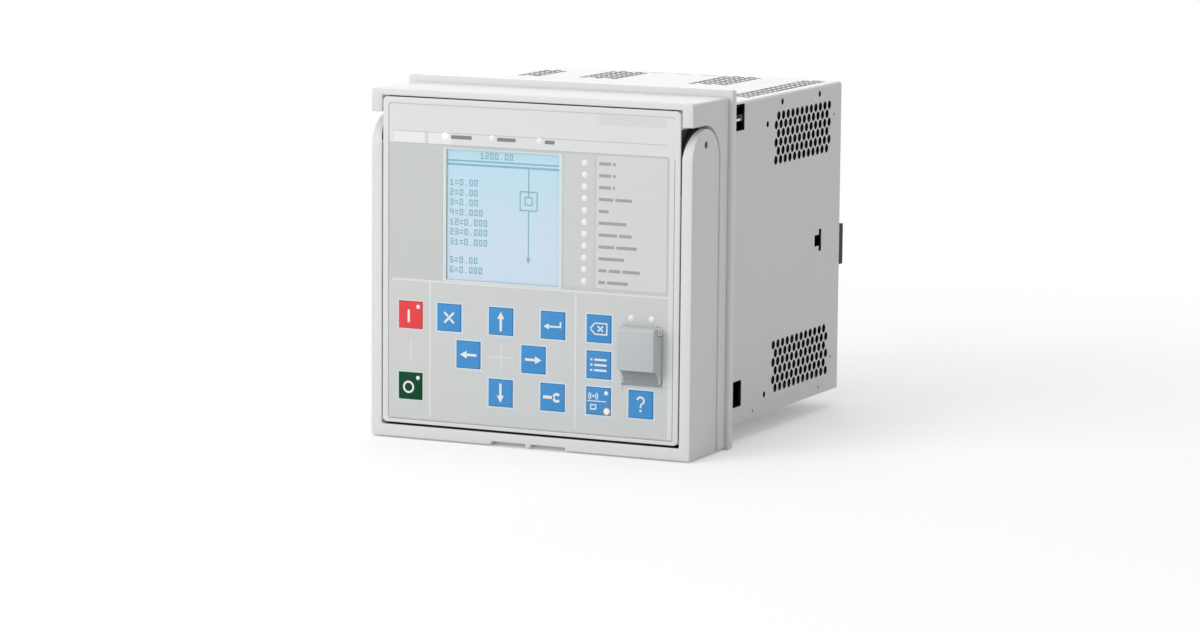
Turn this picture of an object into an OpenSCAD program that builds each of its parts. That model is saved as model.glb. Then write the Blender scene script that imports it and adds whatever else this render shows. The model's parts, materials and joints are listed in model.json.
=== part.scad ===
// Withdrawable protection relay for flush panel mounting.
// A sheet case with a square mounting frame holds a plug-in unit, which carries
// the display, the keys and a bail handle that swings up to draw the unit out.
// Origin: centre of the mounting frame's rear face. +X right, +Y into the panel, +Z up.

/* [Mounting frame] */
// Width of the frame's rim beyond the case's wider side
frame_rim = 6.5; // [5:0.1:12]
// Thickness of the mounting frame
frame_t = 4.7; // [3:0.1:7]
// Corner radius of the mounting frame
frame_r = 1.5; // [0.5:0.1:4]
// Depth of the collar that the case slides over
collar_d = 10; // [6:0.5:11]
// Wall of the collar
collar_t = 3.2; // [2:0.1:4]

/* [Case] */
// Width of the case
case_w = 164; // [150:0.5:180]
// Height of the case
case_h = 160; // [150:0.5:164]
// Depth of the case behind the panel
case_d = 152; // [148:0.5:170]
// Height of the case's centre above the frame's centre
case_lift = 0.6; // [0:0.1:1.5]
// Sheet thickness of the case
sheet_t = 1.2; // [0.8:0.1:1.5]
// Outer bend radius of the folded sheet
bend_r = 2; // [1.8:0.1:4]
// Depth of the rear panel's folded rim
rim_d = 14; // [10:0.5:16]
// Height of the floor's folded side flanges
floor_flange = 4.6; // [3.5:0.1:4.8]

/* [Vents] */
// Diameter of a vent hole
vent_d = 4.5; // [2.5:0.1:4.7]
// Pitch of the holes along a row
vent_pitch = 6.1; // [5.4:0.1:6.4]
// Spacing of the rows
vent_row = 4.44; // [4.2:0.02:4.6]
// Holes in a row of a side vent
vent_cols = 12; // [8:1:12]
// Rows of a side vent
vent_rows = 6; // [4:1:6]
// Distance of the side vents behind the panel
vent_front = 68.7; // [60:0.1:75]
// Drop of the upper vent's first row below the case's top
vent_drop = 10.9; // [9:0.1:14]
// Height of the lower vent's last row above the case's bottom
vent_low_rise = 11.2; // [9:0.1:20]

/* [Front unit] */
// Distance from the panel to the front face
front_reach = 48; // [44:0.5:54]
// Distance of the cap's and the handle's sides inside the frame's edge
unit_inset = 1.85; // [1:0.05:3]
// Distance of the cap's top inside the frame's edge
cap_inset = 3.5; // [2:0.1:5]
// Distance of the handle's bar inside the frame's lower edge
bar_inset = 0.5; // [0.1:0.1:2]
// Thickness of the cap above the front panel
cap_t = 3.1; // [2.5:0.1:5]
// Depth of the flange behind the handle
flange_d = 8.8; // [6:0.1:10]
// Wall of the front housing
wall_t = 2.5; // [2:0.1:3]
// Thickness of the seal against the mounting frame
gasket_t = 1; // [0.6:0.1:2]

/* [Handle] */
// Thickness of the handle's arms
arm_t = 5.85; // [5.2:0.05:7]
// Half width of an arm and radius of its round end
arm_r = 16; // [12:0.5:17]
// Height of the handle's pivot above the frame's centre
pivot_z = 56; // [48:0.5:58]
// Height of the handle's bar
bar_h = 6.1; // [5:0.1:7]
// Gap between the handle's arms and the front housing
handle_gap = 0.6; // [0.4:0.05:1]
// Gap between the bar's inner face and the housing's front edge as the handle swings
swing_gap = 0.3; // [0.2:0.05:0.6]
// Gap round an arm's end in its recess
recess_gap = 1.5; // [0.8:0.1:2.5]
// Diameter of the pivot pins
pivot_d = 8; // [5:0.5:10]
// Width of the finger grip under the bar
grip_w = 40; // [30:1:70]
// Height of the finger grip
grip_h = 1.7; // [1.5:0.1:3.5]

/* [Front panel] */
// Thickness of the front panel moulding
bezel_t = 3; // [2.6:0.1:4]
// Corner radius of the front panel
panel_r = 2.5; // [1:0.1:4]
// Width of the panel's raised rim
rim_w = 3.2; // [2.5:0.1:4]
// Depth of the overlay's face below the rim
overlay_sink = 0.4; // [0.2:0.05:0.6]
// Thickness of the printed overlay
overlay_t = 0.6; // [0.3:0.05:0.8]
// Width of the display window
window_w = 65; // [60:0.5:68]
// Height of the display window
window_h = 66.2; // [60:0.2:68]
// Height of the display's centre above the frame's centre
window_z = 24.7; // [23:0.1:27]
// Distance of the display's centre to the left of the middle
window_x = 14.8; // [12:0.1:20]

/* [Keys] */
// Width of a key
key_w = 12.7; // [10:0.1:13.2]
// Height of a key
key_h = 13.1; // [10:0.1:13.4]
// Pitch of the key rows
key_pitch = 17.75; // [17:0.05:18]
// Height of the lowest key row above the overlay's lower edge
key_rise = 16.37; // [15.5:0.01:18]
// Gap round a key in its opening
key_gap = 0.25; // [0.15:0.05:0.4]
// Height of a key above the overlay
key_proud = 0.35; // [0.1:0.05:0.6]
// Travel of a key
key_travel = 0.5; // [0.3:0.05:0.8]

/* [Indicators] */
// Diameter of an indicator's light pipe
led_d = 2.6; // [2:0.1:3.2]
// Pitch of the alarm indicators
led_pitch = 5.77; // [5:0.01:5.9]
// Number of alarm indicators
led_count = 11; // [6:1:11]
// Distance of the alarm indicators to the right of the middle
led_x = 29.5; // [27:0.1:34]
// Height of the top alarm indicator above the frame's centre
led_top = 54; // [52:0.1:56]

/* [Front port] */
// Width of the port cover
cover_w = 21; // [19.5:0.1:22]
// Height of the port cover
cover_h = 28.9; // [26:0.1:29]
// Distance of the cover's centre inside the overlay's right edge
cover_inset = 16; // [15:0.1:17]
// Height of the cover's top above the middle of the first key row
cover_rise = 2.8; // [2:0.1:4]
// Depth of the cover in front of the overlay
cover_d = 8; // [7:0.1:10]
// Draft of each side of the cover, from its base to its face
cover_draft = 0.9; // [0:0.1:1.5]
// Radius of the cover's lower corners
cover_r = 3; // [1:0.1:5]
// Radius of the finger scoop under the cover's face
cover_scoop_r = 7; // [6:0.5:16]
// Radius of the cover's hinge barrel
barrel_r = 1.9; // [1.6:0.1:2.2]
// Diameter of the hinge pin
hinge_pin_d = 1.6; // [1.2:0.1:1.8]

/* [Inside] */
// Drop of the upper guide rails below the case's inner top
rail_drop = 8.4; // [6:0.1:11]
// Height of the lower guide rails above the case's inner floor
rail_rise = 6.2; // [6:0.1:9]
// Width of a guide rail
rail_w = 7; // [6.5:0.1:9]
// Distance of the plug-in unit's chassis inside the case's sides
chassis_inset = 7; // [6.6:0.1:7.6]
// Thickness of a circuit board
board_t = 1.6; // [1:0.1:2]

/* [Rear] */
// Reach of the terminal blocks behind the case
terminal_out = 13; // [8:0.5:20]
// Reach of the terminal blocks into the case
terminal_in = 13; // [10:0.5:13.5]
// Pitch of the signal terminals
signal_pitch = 5.08; // [4.8:0.02:5.2]
// Pitch of the measuring terminals
measure_pitch = 7.62; // [7:0.02:8]
// Width of a signal terminal block
signal_w = 16; // [14:0.1:18]
// Width of a measuring terminal block
measure_w = 20; // [16:0.1:22]
// Diameter of a wire entry
entry_d = 3.4; // [2.5:0.1:3.8]
// Diameter of the earth stud
earth_d = 5; // [4:0.5:6]

/* [Hidden] */
$fn = 48;

// Small clearances
fit = 0.1;          // between flat faces of pieces that are fixed to each other
slide_gap = 0.2;    // between the chassis and its rails
run_gap = 0.05;     // radial, between a pin and the bore that turns on it
mate_gap = 0.4;     // between the plug-in connectors and their sockets
past = 1;           // how far a cutting shape runs past the face that it cuts

// Case
case_top = case_lift + case_h / 2;
case_bottom = case_lift - case_h / 2;
in_x = case_w / 2 - sheet_t;
in_top = case_top - sheet_t;
in_bottom = case_bottom + sheet_t;
frame_w = max(case_w, case_h) + 2 * frame_rim;
collar_r = 3;
frame_screw_x = case_w / 2 - 32;
case_front = -0.5;        // the case's front edge sits in a shallow rebate of the frame
wall_cut_front = 12;      // front end of the clamp slots in the case's sides
wall_cut_rear = 25.2;     // rear end of the same slots
clamp_slot_h = 13;
clamp_slot_drop = 1.2;    // below the case's top
clamp_slot_rise = 8.3;    // above the case's bottom
bracket_y = 54.5;
bracket_drop = 14;        // bracket holes, from the case's top and from its bottom
bracket_rise = 9.8;
bracket_d = 3.2;
pilot_d = 3.2;
pilot_drop = 4.2;
pilot_ys = [73.3, 122.5];
key_slot_y = 118.4;       // T-shaped cut in the case's side
key_slot_stem = [5.6, 5.8];
key_slot_bar = [3.4, 11.4];
key_slot_z = 0.9;
side_screw_drop = 16.3;   // screws of the rear panel, from the case's top and from its bottom
side_screw_rise = 17.6;
rear_screw_y = case_d - rim_d + 4;
floor_screw_ys = [40, rear_screw_y - 16];
floor_screw_z = in_bottom + floor_flange / 2;

// Top vents, as centre x, first hole's y, rows and holes in a row
top_vents = [
    [-case_w / 2 + 10, 100.5, 3, 6], [-34.5, 105.5, 5, 7], [29, 101.5, 5, 8],
    [case_w / 2 - 12, 45, 3, 17]
];
floor_vents = [[-42, 60, 5, 12], [42, 60, 5, 12]];
rear_slot = [9, 1.6];
rear_slot_xs = [-20, -5.5, 9];
rear_slot_edge = 5;       // from the case's rear edge

// Front unit
front = -front_reach;
unit_rear = -frame_t - gasket_t;
flange_front = unit_rear - flange_d;
unit_w = frame_w - 2 * unit_inset;
cap_top = frame_w / 2 - cap_inset;
unit_bottom = -frame_w / 2 + bar_inset;
unit_h = cap_top - unit_bottom;
unit_mid = (cap_top + unit_bottom) / 2;
unit_r = 1.5;
body_x = unit_w / 2 - arm_t - handle_gap;
pivot_y = front + arm_r;
bar_top = unit_bottom + bar_h;
swing_r = pivot_z - bar_top - swing_gap;
unit_floor = pivot_z - sqrt(swing_r * swing_r - arm_r * arm_r);
recess_r = arm_r + recess_gap;
panel_top = cap_top - cap_t - handle_gap;
panel_h = panel_top - unit_floor;
panel_mid = (panel_top + unit_floor) / 2;
panel_rear = front + bezel_t;
inner_x = body_x - wall_t;
inner_top = panel_top - wall_t;
inner_floor = unit_floor + wall_t;
boss_d = pivot_d + 6;     // bosses inside the housing that hold the handle's pivots
boss_x = inner_x - 4;
pivot_head_d = pivot_d + 3;
pivot_head_t = 1.5;
boss_room = 1;            // left round the bosses and the pivots' heads by the front board
overlay_face = front + overlay_sink;
overlay_rear = overlay_face + overlay_t;
overlay_x = body_x - rim_w;
overlay_top = panel_top - rim_w;
overlay_floor = unit_floor + rim_w - 0.8;
overlay_r = 1.5;
window_ledge = [1.9, 0.9];   // how far the panel reaches behind the window's edges

// Front board, which carries the display, the key switches and the light pipes
board_front = front + 14;
board_rear_face = board_front + board_t;
board_x = inner_x - 1.7;
board_low = inner_floor + 1.2;
board_high = inner_top - 1.2;
post_d = 6;
post_hole_d = 2.6;
post_inset = 3.2;

// Keys: name, centre x and row
low_row = overlay_floor + key_rise;
key_rows = [low_row + 2 * key_pitch, low_row + key_pitch, low_row];
command_x = -overlay_x + 12.3;
menu_x = overlay_x - 39.1;
help_x = overlay_x - 16.5;
arrow_x = (command_x + menu_x) / 2 - 1.65;
left_x = arrow_x - key_pitch;
right_x = arrow_x + key_pitch;
escape_x = (command_x + arrow_x) / 2 - 3.525;
enter_x = (arrow_x + menu_x) / 2 + 1.725;
key_places = [
    [command_x, 0], [command_x, 2], [escape_x, 0], [left_x, 1], [arrow_x, 0],
    [arrow_x, 2], [right_x, 1], [enter_x, 0], [enter_x, 2], [menu_x, 0],
    [menu_x, 1], [menu_x, 2], [help_x, 2]
];
key_face = overlay_face - key_proud;
key_skirt = 0.9;          // how far a key's skirt reaches past its cap
key_skirt_t = 1.2;
key_skirt_front = panel_rear + key_gap;
key_stem_d = 5;
key_stem_end = key_skirt_front + key_skirt_t + 3;
switch_d = 6;
switch_gap = 0.1;         // left between the key's stem and its switch at full travel

// Indicators: the three status lights, then the two at the front port
status_z = overlay_top - 14.8;
status_x = -window_x - 31.4;
status_pitch = 25.6;
status_xs = [status_x, status_x + status_pitch, status_x + 2 * status_pitch];
cover_x = overlay_x - cover_inset;
cover_top = key_rows[0] + cover_rise;
port_led_z = cover_top + 3.6;
port_led_xs = [cover_x - 6.1, cover_x + 4.7];
led_gap = 0.1;

// Front port and its cover
hinge_y = overlay_face - barrel_r - 0.6;
hinge_z = cover_top - barrel_r;
cover_left = cover_x - cover_w / 2;
cover_right = cover_x + cover_w / 2;
cover_low = cover_top - cover_h;
cover_face = overlay_face - cover_d - 0.4;
cover_rear = overlay_face - 0.3;
ear_w = 2.6;
ear_gap = 0.3;
jack_w = 16;
jack_h = 13.5;
jack_z = cover_top - 13.9;
socket_w = 11.8;
socket_h = 8.4;
socket_d = 11.5;

// Chassis and boards
chassis_t = 1;
chassis_x = case_w / 2 - chassis_inset;
rail_high = in_top - rail_drop;
rail_low = in_bottom + rail_rise;
chassis_low = rail_low + slide_gap;
chassis_high = rail_high - slide_gap;
chassis_front = board_rear_face + 9;
connector_d = 9;
connector_rear = case_d - terminal_in - mate_gap;
boards_rear = connector_rear - connector_d;
boards_front = chassis_front + 4;
comb_d = 6;
comb_h = 6;
comb_slot = 4;
comb_ys = [unit_rear + 14, boards_rear - 14];
slot_fit = 0.1;
boards_low = chassis_low + chassis_t + comb_h - comb_slot;
boards_high = chassis_high - comb_h + comb_slot;
processor_x = chassis_x - 9;
supply_x = chassis_x - 34;
output_x = chassis_x - 57;
measuring_x = -chassis_x + 35;
pad_zs = [-45, 45];
pad_d = 12;
pad_h = 14;
pad_mid = (chassis_front + unit_rear) / 2;
screw_d = 3;

// What the boards carry
chip_t = 2;
core_w = 14;              // switching transformer
core_d = 32;
core_h = 28;
core_leg = 7;
core_y = 30;
core_z = -30;
winding_d = 12;
capacitor_d = 16;
capacitor_l = 17;
capacitor_y = 20;
capacitor_z = 35;
capacitor_pitch = 22;
relay_w = 14;             // sealed output relays
relay_d = 13;
relay_h = 28;
relay_y = 30;
relay_z = -50;
relay_pitch_y = 25;
relay_pitch_z = 35;
ring_d = 30;              // current transformers
ring_w = 9;
ring_t = 16;
ring_base_t = 3;
ring_y = 32;
ring_pitch = 42;
pot_sink = 2.5;           // depth of the potted middle below the ring's face
signal_plug_w = 10;
measure_plug_w = 46;

// Rear
signal_ways = 24;
measure_ways = 14;
signal_xs = [supply_x, output_x];
measure_xs = [measuring_x + 13, measuring_x - 13];
block_end = 3;
entry_depth = 9;
entry_side = 3.6;         // offset of wire entries and screws from the block's middle
terminal_screw_d = 3.2;
terminal_screw_h = 2;
port_plate_x = chassis_x - 4.6;
port_plate_w = 18.4;
port_plate_h = 122;
port_plate_t = 1.5;
rear_port_z = -5.4;
rear_port_w = 17;
rear_port_h = 21.2;
rear_port_out = 13;
rear_port_in = 9;
earth_x = -chassis_x + 3;
earth_z = case_bottom + 10;
earth_out = 14;
nut_af = 8;
nut_h = 4;
washer_d = 10;
washer_h = 1;

// Colours
shell_gray = [0.86, 0.87, 0.86];
sheet_gray = [0.69, 0.71, 0.70];
overlay_gray = [0.78, 0.79, 0.78];
steel = [0.75, 0.76, 0.77];
black = [0.08, 0.08, 0.09];
key_blue = [0.27, 0.57, 0.83];

function signal_h() = signal_ways * signal_pitch + 2 * block_end;
function measure_h() = measure_ways * measure_pitch + 2 * block_end;

// An outline in the XZ plane, made solid from y0 to y1
module slab(y0, y1) {
    translate([0, y1, 0]) rotate([90, 0, 0]) linear_extrude(y1 - y0) children();
}

// An outline in the YZ plane, made solid from x0 to x1
module side_slab(x0, x1) {
    translate([x0, 0, 0]) rotate([90, 0, 90]) linear_extrude(x1 - x0) children();
}

// A box given by its two corners
module block(low, high) {
    translate(low) cube(high - low);
}

// A rectangle with round corners, given by its centre
module round_rect(w, h, r) {
    square([w - 2 * r, h], center = true);
    square([w, h - 2 * r], center = true);
    for (sx = [-1, 1], sy = [-1, 1]) {
        translate([sx * (w / 2 - r), sy * (h / 2 - r)]) circle(r);
    }
}

// A field of staggered vent holes, from the first hole of its first row
module vent_field(rows, cols, lead = 1) {
    for (row = [0 : rows - 1], col = [0 : cols - 1]) {
        shift = row % 2 == 1 ? lead * vent_pitch / 2 : 0;
        translate([col * vent_pitch + shift, -row * vent_row]) circle(d = vent_d, $fn = 24);
    }
}

// A rod along X, from x0 to x1
module rod_x(x0, x1, d) {
    translate([x0, 0, 0]) rotate([0, 90, 0]) cylinder(d = d, h = x1 - x0);
}

// A rod along Y, from y0 to y1
module rod_y(y0, y1, d) {
    translate([0, y0, 0]) rotate([-90, 0, 0]) cylinder(d = d, h = y1 - y0);
}

// A countersunk screw whose flush head looks along +Z
module flush_screw(length, d) {
    head_h = sheet_t;
    translate([0, 0, -length]) cylinder(d = d, h = length);
    translate([0, 0, -head_h]) cylinder(d1 = d, d2 = d + 2 * head_h, h = head_h);
}

// The seat of that screw
module flush_seat(length, d) {
    flush_screw(length, d + 2 * run_gap);
    cylinder(d = d + 2 * sheet_t + 2 * run_gap, h = past);
}

// A pan head screw whose head looks along +Z
module pan_screw(length, d) {
    head_d = 1.9 * d;
    head_h = 0.65 * d;
    difference() {
        union() {
            translate([0, 0, -length]) cylinder(d = d, h = length);
            cylinder(d = head_d, h = head_h);
        }
        translate([-head_d, -d / 8, head_h / 2]) cube([2 * head_d, d / 4, head_h]);
    }
}

// Places of the screws that hold the mounting frame's collar, on the top and the floor
module frame_screw_places() {
    for (x = [-frame_screw_x, frame_screw_x]) {
        translate([x, collar_d / 2, case_top]) children();
        translate([x, collar_d / 2, case_bottom]) rotate([180, 0, 0]) children();
    }
}

// Places of the screws that hold the rear panel and the floor, on the case's sides
module case_screw_places() {
    for (side = [-1, 1]) {
        for (z = [case_bottom + side_screw_rise, case_top - side_screw_drop]) {
            translate([side * case_w / 2, rear_screw_y, z]) rotate([0, side * 90, 0]) children();
        }
        for (y = floor_screw_ys) {
            translate([side * case_w / 2, y, floor_screw_z]) rotate([0, side * 90, 0]) children();
        }
    }
}

// Outline of the case, grown by a gap: round where the sheet is folded, square at the floor
module case_outline(gap) {
    w = case_w + 2 * gap;
    translate([0, case_lift]) round_rect(w, case_h + 2 * gap, bend_r + gap);
    translate([-w / 2, case_bottom - gap]) square([w, case_h / 2]);
}

// Square frame that meets the panel, with a collar for the case behind it
module mounting_frame() {
    collar_w = 2 * (in_x - fit);
    collar_h = in_top - in_bottom - 2 * fit;
    collar_mid = (in_top + in_bottom) / 2;
    color(shell_gray) difference() {
        union() {
            difference() {
                slab(-frame_t, 0) round_rect(frame_w, frame_w, frame_r);
                slab(case_front, past) case_outline(fit);
            }
            slab(case_front - past, collar_d)
                translate([0, collar_mid]) round_rect(collar_w, collar_h, collar_r);
        }
        slab(-frame_t - past, collar_d + past) translate([0, collar_mid])
            round_rect(collar_w - 2 * collar_t, collar_h - 2 * collar_t, collar_r);
        frame_screw_places() flush_seat(collar_t + sheet_t + past, screw_d);
    }
}

// Cuts in one side of the case, seen as Y and Z
module side_cuts() {
    slot_d = wall_cut_rear - wall_cut_front;
    translate([vent_front, case_top - vent_drop]) vent_field(vent_rows, vent_cols, -1);
    translate([vent_front - vent_pitch / 2, case_bottom + vent_low_rise + (vent_rows - 1) * vent_row])
        vent_field(vent_rows, vent_cols, 1);
    translate([wall_cut_front, case_top - clamp_slot_drop - clamp_slot_h]) square([slot_d, clamp_slot_h]);
    translate([wall_cut_front, case_bottom + clamp_slot_rise]) square([slot_d, clamp_slot_h]);
    translate([bracket_y, case_top - bracket_drop]) circle(d = bracket_d);
    translate([bracket_y, case_bottom + bracket_rise]) circle(d = bracket_d);
    for (y = pilot_ys) {
        translate([y, case_top - pilot_drop]) circle(d = pilot_d);
    }
    translate([key_slot_y, key_slot_z - key_slot_stem[1] / 2]) square(key_slot_stem);
    translate([key_slot_y + key_slot_stem[0], key_slot_z - key_slot_bar[1] / 2]) square(key_slot_bar);
}

// Cuts in the case's top, seen as X and Y
module top_cuts() {
    for (field = top_vents) {
        translate([field[0] - (field[2] - 1) * vent_row / 2, field[1]])
            rotate(90) vent_field(field[2], field[3]);
    }
    for (x = rear_slot_xs) {
        translate([x, case_d - rear_slot_edge]) square(rear_slot, center = true);
    }
}

// Top and sides of the case, folded from one perforated sheet
module case_wrap() {
    inner_r = bend_r - sheet_t;
    color(sheet_gray) difference() {
        slab(case_front, case_d) difference() {
            case_outline(0);
            translate([0, in_top - case_h / 2]) round_rect(2 * in_x, case_h, inner_r);
            translate([-in_x, case_bottom - past]) square([2 * in_x, case_h / 2]);
        }
        for (x = [-case_w / 2 - past, in_x - past]) {
            side_slab(x, x + sheet_t + 2 * past) side_cuts();
        }
        translate([0, 0, in_top - past]) linear_extrude(sheet_t + 2 * past) top_cuts();
        frame_screw_places() flush_seat(sheet_t + past, screw_d);
        case_screw_places() flush_seat(sheet_t + past, screw_d);
    }
}

// Floor of the case, with folded side flanges behind the clamp slots
module case_floor() {
    flange_y = wall_cut_rear + 3;
    half = in_x - fit;
    color(sheet_gray) difference() {
        union() {
            block([-half, case_front, case_bottom], [half, case_d, in_bottom]);
            for (x = [-half, half - sheet_t]) {
                block([x, flange_y, case_bottom],
                      [x + sheet_t, case_d - rim_d - fit, in_bottom + floor_flange]);
            }
        }
        translate([0, 0, case_bottom - past]) linear_extrude(sheet_t + 2 * past) {
            for (field = floor_vents) {
                translate([field[0] - (field[2] - 1) * vent_row / 2, field[1]])
                    rotate(90) vent_field(field[2], field[3]);
            }
        }
        frame_screw_places() flush_seat(sheet_t + past, screw_d);
        case_screw_places() flush_seat(3 * sheet_t, screw_d);
    }
}

// Openings of the rear panel for the terminal blocks and the rear port
module rear_openings() {
    for (x = signal_xs) {
        translate([x, 0]) square([signal_w + 2 * fit, signal_h() + 2 * fit], center = true);
    }
    for (x = measure_xs) {
        translate([x, 0]) square([measure_w + 2 * fit, measure_h() + 2 * fit], center = true);
    }
    translate([port_plate_x, rear_port_z])
        square([rear_port_w + 2 * fit, rear_port_h + 2 * fit], center = true);
    translate([earth_x, earth_z]) circle(d = earth_d + 2 * run_gap);
}

// Rear panel, a tray whose rim is screwed inside the case
module rear_panel() {
    outer_w = 2 * (in_x - fit);
    outer_h = in_top - in_bottom - 2 * fit;
    mid = (in_top + in_bottom) / 2;
    color(sheet_gray) difference() {
        slab(case_d - rim_d, case_d)
            translate([0, mid]) round_rect(outer_w, outer_h, bend_r);
        slab(case_d - rim_d - past, case_d - sheet_t) translate([0, mid])
            round_rect(outer_w - 2 * sheet_t, outer_h - 2 * sheet_t, bend_r - sheet_t / 2);
        slab(case_d - sheet_t - past, case_d + past) rear_openings();
        case_screw_places() flush_seat(3 * sheet_t, screw_d);
    }
}

// Four angle rails on the case's sides, which guide the chassis
module guide_rails() {
    web_h = 3.5;
    web_front = wall_cut_rear + 3;
    rear = case_d - rim_d - fit;
    color(steel) for (side = [0, 1]) mirror([side, 0, 0]) {
        block([in_x - rail_w, collar_d + fit, rail_high], [in_x, rear, rail_high + sheet_t]);
        block([in_x - sheet_t, web_front, rail_high], [in_x, rear, rail_high + web_h]);
        block([in_x - rail_w, collar_d + fit, rail_low - sheet_t], [in_x, rear, rail_low]);
        block([in_x - sheet_t, web_front, rail_low], [in_x, rear, rail_low + web_h]);
    }
}

module frame_screws() {
    color(steel) frame_screw_places() flush_screw(collar_t + sheet_t, screw_d);
}

module case_screws() {
    color(steel) case_screw_places() flush_screw(3 * sheet_t, screw_d);
}

// A terminal block with a row of wire entries beside a row of screw holes
module terminal_block(w, h, ways, pitch) {
    difference() {
        union() {
            slab(case_d - terminal_in, case_d + terminal_out) square([w, h], center = true);
            slab(case_d, case_d + terminal_out / 2) square([w + 1, h + 2], center = true);
        }
        slab(case_d + terminal_out - entry_depth, case_d + terminal_out + past)
            for (way = [0 : ways - 1], side = [-1, 1]) {
                translate([side * entry_side, (way - (ways - 1) / 2) * pitch])
                    circle(d = entry_d, $fn = 24);
            }
        slab(case_d - terminal_in - past, case_d - terminal_in + 4)
            square([3, h - 4 * block_end], center = true);
    }
}

module signal_terminals() {
    color(black) for (x = signal_xs) {
        translate([x, 0, 0]) terminal_block(signal_w, signal_h(), signal_ways, signal_pitch);
    }
}

module measuring_terminals() {
    color(black) for (x = measure_xs) {
        translate([x, 0, 0]) terminal_block(measure_w, measure_h(), measure_ways, measure_pitch);
    }
}

// One slotted clamp screw at the bottom of its hole
module terminal_screw() {
    floor_y = case_d + terminal_out - entry_depth;
    difference() {
        rod_y(floor_y, floor_y + terminal_screw_h, terminal_screw_d);
        block([-terminal_screw_d, floor_y + terminal_screw_h / 2, -0.3],
              [terminal_screw_d, floor_y + terminal_screw_h + past, 0.3]);
    }
}

module terminal_screws() {
    color(steel) {
        for (x = signal_xs, way = [0 : signal_ways - 1]) {
            translate([x - entry_side, 0, (way - (signal_ways - 1) / 2) * signal_pitch])
                terminal_screw();
        }
        for (x = measure_xs, way = [0 : measure_ways - 1]) {
            translate([x - entry_side, 0, (way - (measure_ways - 1) / 2) * measure_pitch])
                terminal_screw();
        }
    }
}

// Cover plate of the communication slot
module port_plate() {
    color(steel) slab(case_d, case_d + port_plate_t) difference() {
        translate([port_plate_x, 0]) round_rect(port_plate_w, port_plate_h, 1);
        translate([port_plate_x, rear_port_z])
            square([rear_port_w + 2 * fit, rear_port_h + 2 * fit], center = true);
    }
}

// Socket with a shielded opening, in the shape that network plugs take
module socket_cut(y0, y1) {
    slab(y0, y1) {
        square([socket_w, socket_h], center = true);
        translate([0, -socket_h / 2]) square([socket_w / 2, 3], center = true);
    }
}

module rear_port() {
    color(black) translate([port_plate_x, 0, rear_port_z]) difference() {
        slab(case_d - rear_port_in, case_d + rear_port_out)
            square([rear_port_w, rear_port_h], center = true);
        socket_cut(case_d + rear_port_out - socket_d, case_d + rear_port_out + past);
    }
}

module earth_stud() {
    head_h = 3;
    color(steel) translate([earth_x, 0, earth_z]) {
        rod_y(case_d - sheet_t, case_d + earth_out, earth_d);
        rod_y(case_d - sheet_t - head_h, case_d - sheet_t, 1.7 * earth_d);
    }
}

module earth_nut() {
    color(steel) translate([earth_x, 0, earth_z]) difference() {
        union() {
            rod_y(case_d, case_d + washer_h, washer_d);
            translate([0, case_d + washer_h, 0]) rotate([-90, 0, 0])
                cylinder(d = nut_af / cos(30), h = nut_h, $fn = 6);
        }
        rod_y(case_d - past, case_d + earth_out, earth_d + 2 * run_gap);
    }
}

// Room for an arm of the handle, seen as Y and Z
module arm_recess() {
    translate([pivot_y, pivot_z]) circle(recess_r);
    translate([front - past, unit_bottom - past])
        square([pivot_y + recess_r - front + past, pivot_z - unit_bottom + past]);
    translate([front - past, pivot_z - past])
        square([arm_r + past, recess_r + past]);
}

// Moulded housing of the front unit: a cap over the handle, a body and a rear flange
module front_housing() {
    color(shell_gray) difference() {
        union() {
            difference() {
                slab(front, unit_rear)
                    translate([0, unit_mid]) round_rect(unit_w, unit_h, unit_r);
                for (side = [0, 1]) mirror([side, 0, 0]) {
                    side_slab(body_x, unit_w / 2 + past) arm_recess();
                }
                block([-unit_w / 2 - past, front - past, unit_bottom - past],
                      [unit_w / 2 + past, flange_front, unit_floor]);
                block([-body_x - handle_gap, front - past, unit_floor - past],
                      [body_x + handle_gap, panel_rear, panel_top + handle_gap]);
                block([-inner_x, front - past, inner_floor], [inner_x, unit_rear + past, inner_top]);
            }
            for (side = [0, 1]) mirror([side, 0, 0]) {
                translate([0, pivot_y, pivot_z]) rod_x(boss_x, inner_x + fit, boss_d);
                for (z = pad_zs) {
                    block([chassis_x, pad_mid - pad_d / 2, z - pad_h / 2],
                          [inner_x + fit, pad_mid + pad_d / 2, z + pad_h / 2]);
                }
            }
        }
        for (side = [0, 1]) mirror([side, 0, 0]) {
            translate([0, pivot_y, pivot_z])
                rod_x(boss_x - past, body_x + past, pivot_d + run_gap);
            for (z = pad_zs) {
                translate([0, pad_mid, z]) rod_x(chassis_x - past, inner_x, screw_d + run_gap);
            }
        }
    }
}

// Seal between the front unit and the mounting frame
module front_gasket() {
    inset = 5;
    width = 3;
    w = 2 * (inner_x + width);
    h = unit_h - 2 * inset;
    color(black) slab(unit_rear, -frame_t) translate([0, unit_mid]) difference() {
        round_rect(w, h, 2);
        round_rect(w - 2 * width, h - 2 * width, 1);
    }
}

// Openings of the keys
module key_openings() {
    for (place = key_places) {
        translate([place[0], key_rows[place[1]]])
            square([key_w + 2 * key_gap, key_h + 2 * key_gap], center = true);
    }
}

// Openings of the light pipes
module led_openings(d) {
    for (i = [0 : led_count - 1]) {
        translate([led_x, led_top - i * led_pitch]) circle(d = d, $fn = 24);
    }
    for (x = status_xs) {
        translate([x, status_z]) circle(d = d, $fn = 24);
    }
    for (x = port_led_xs) {
        translate([x, port_led_z]) circle(d = d, $fn = 24);
    }
}

// Opening of the display window
module window_opening(gap) {
    translate([-window_x, window_z]) square([window_w + 2 * gap, window_h + 2 * gap], center = true);
}

// Opening of the front port
// Opening of the panel behind the window, grown by a gap
module display_opening(gap) {
    w = window_w - 2 * window_ledge[0] + 2 * gap;
    h = window_h - 2 * window_ledge[1] + 2 * gap;
    translate([-window_x, window_z]) square([w, h], center = true);
}

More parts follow.
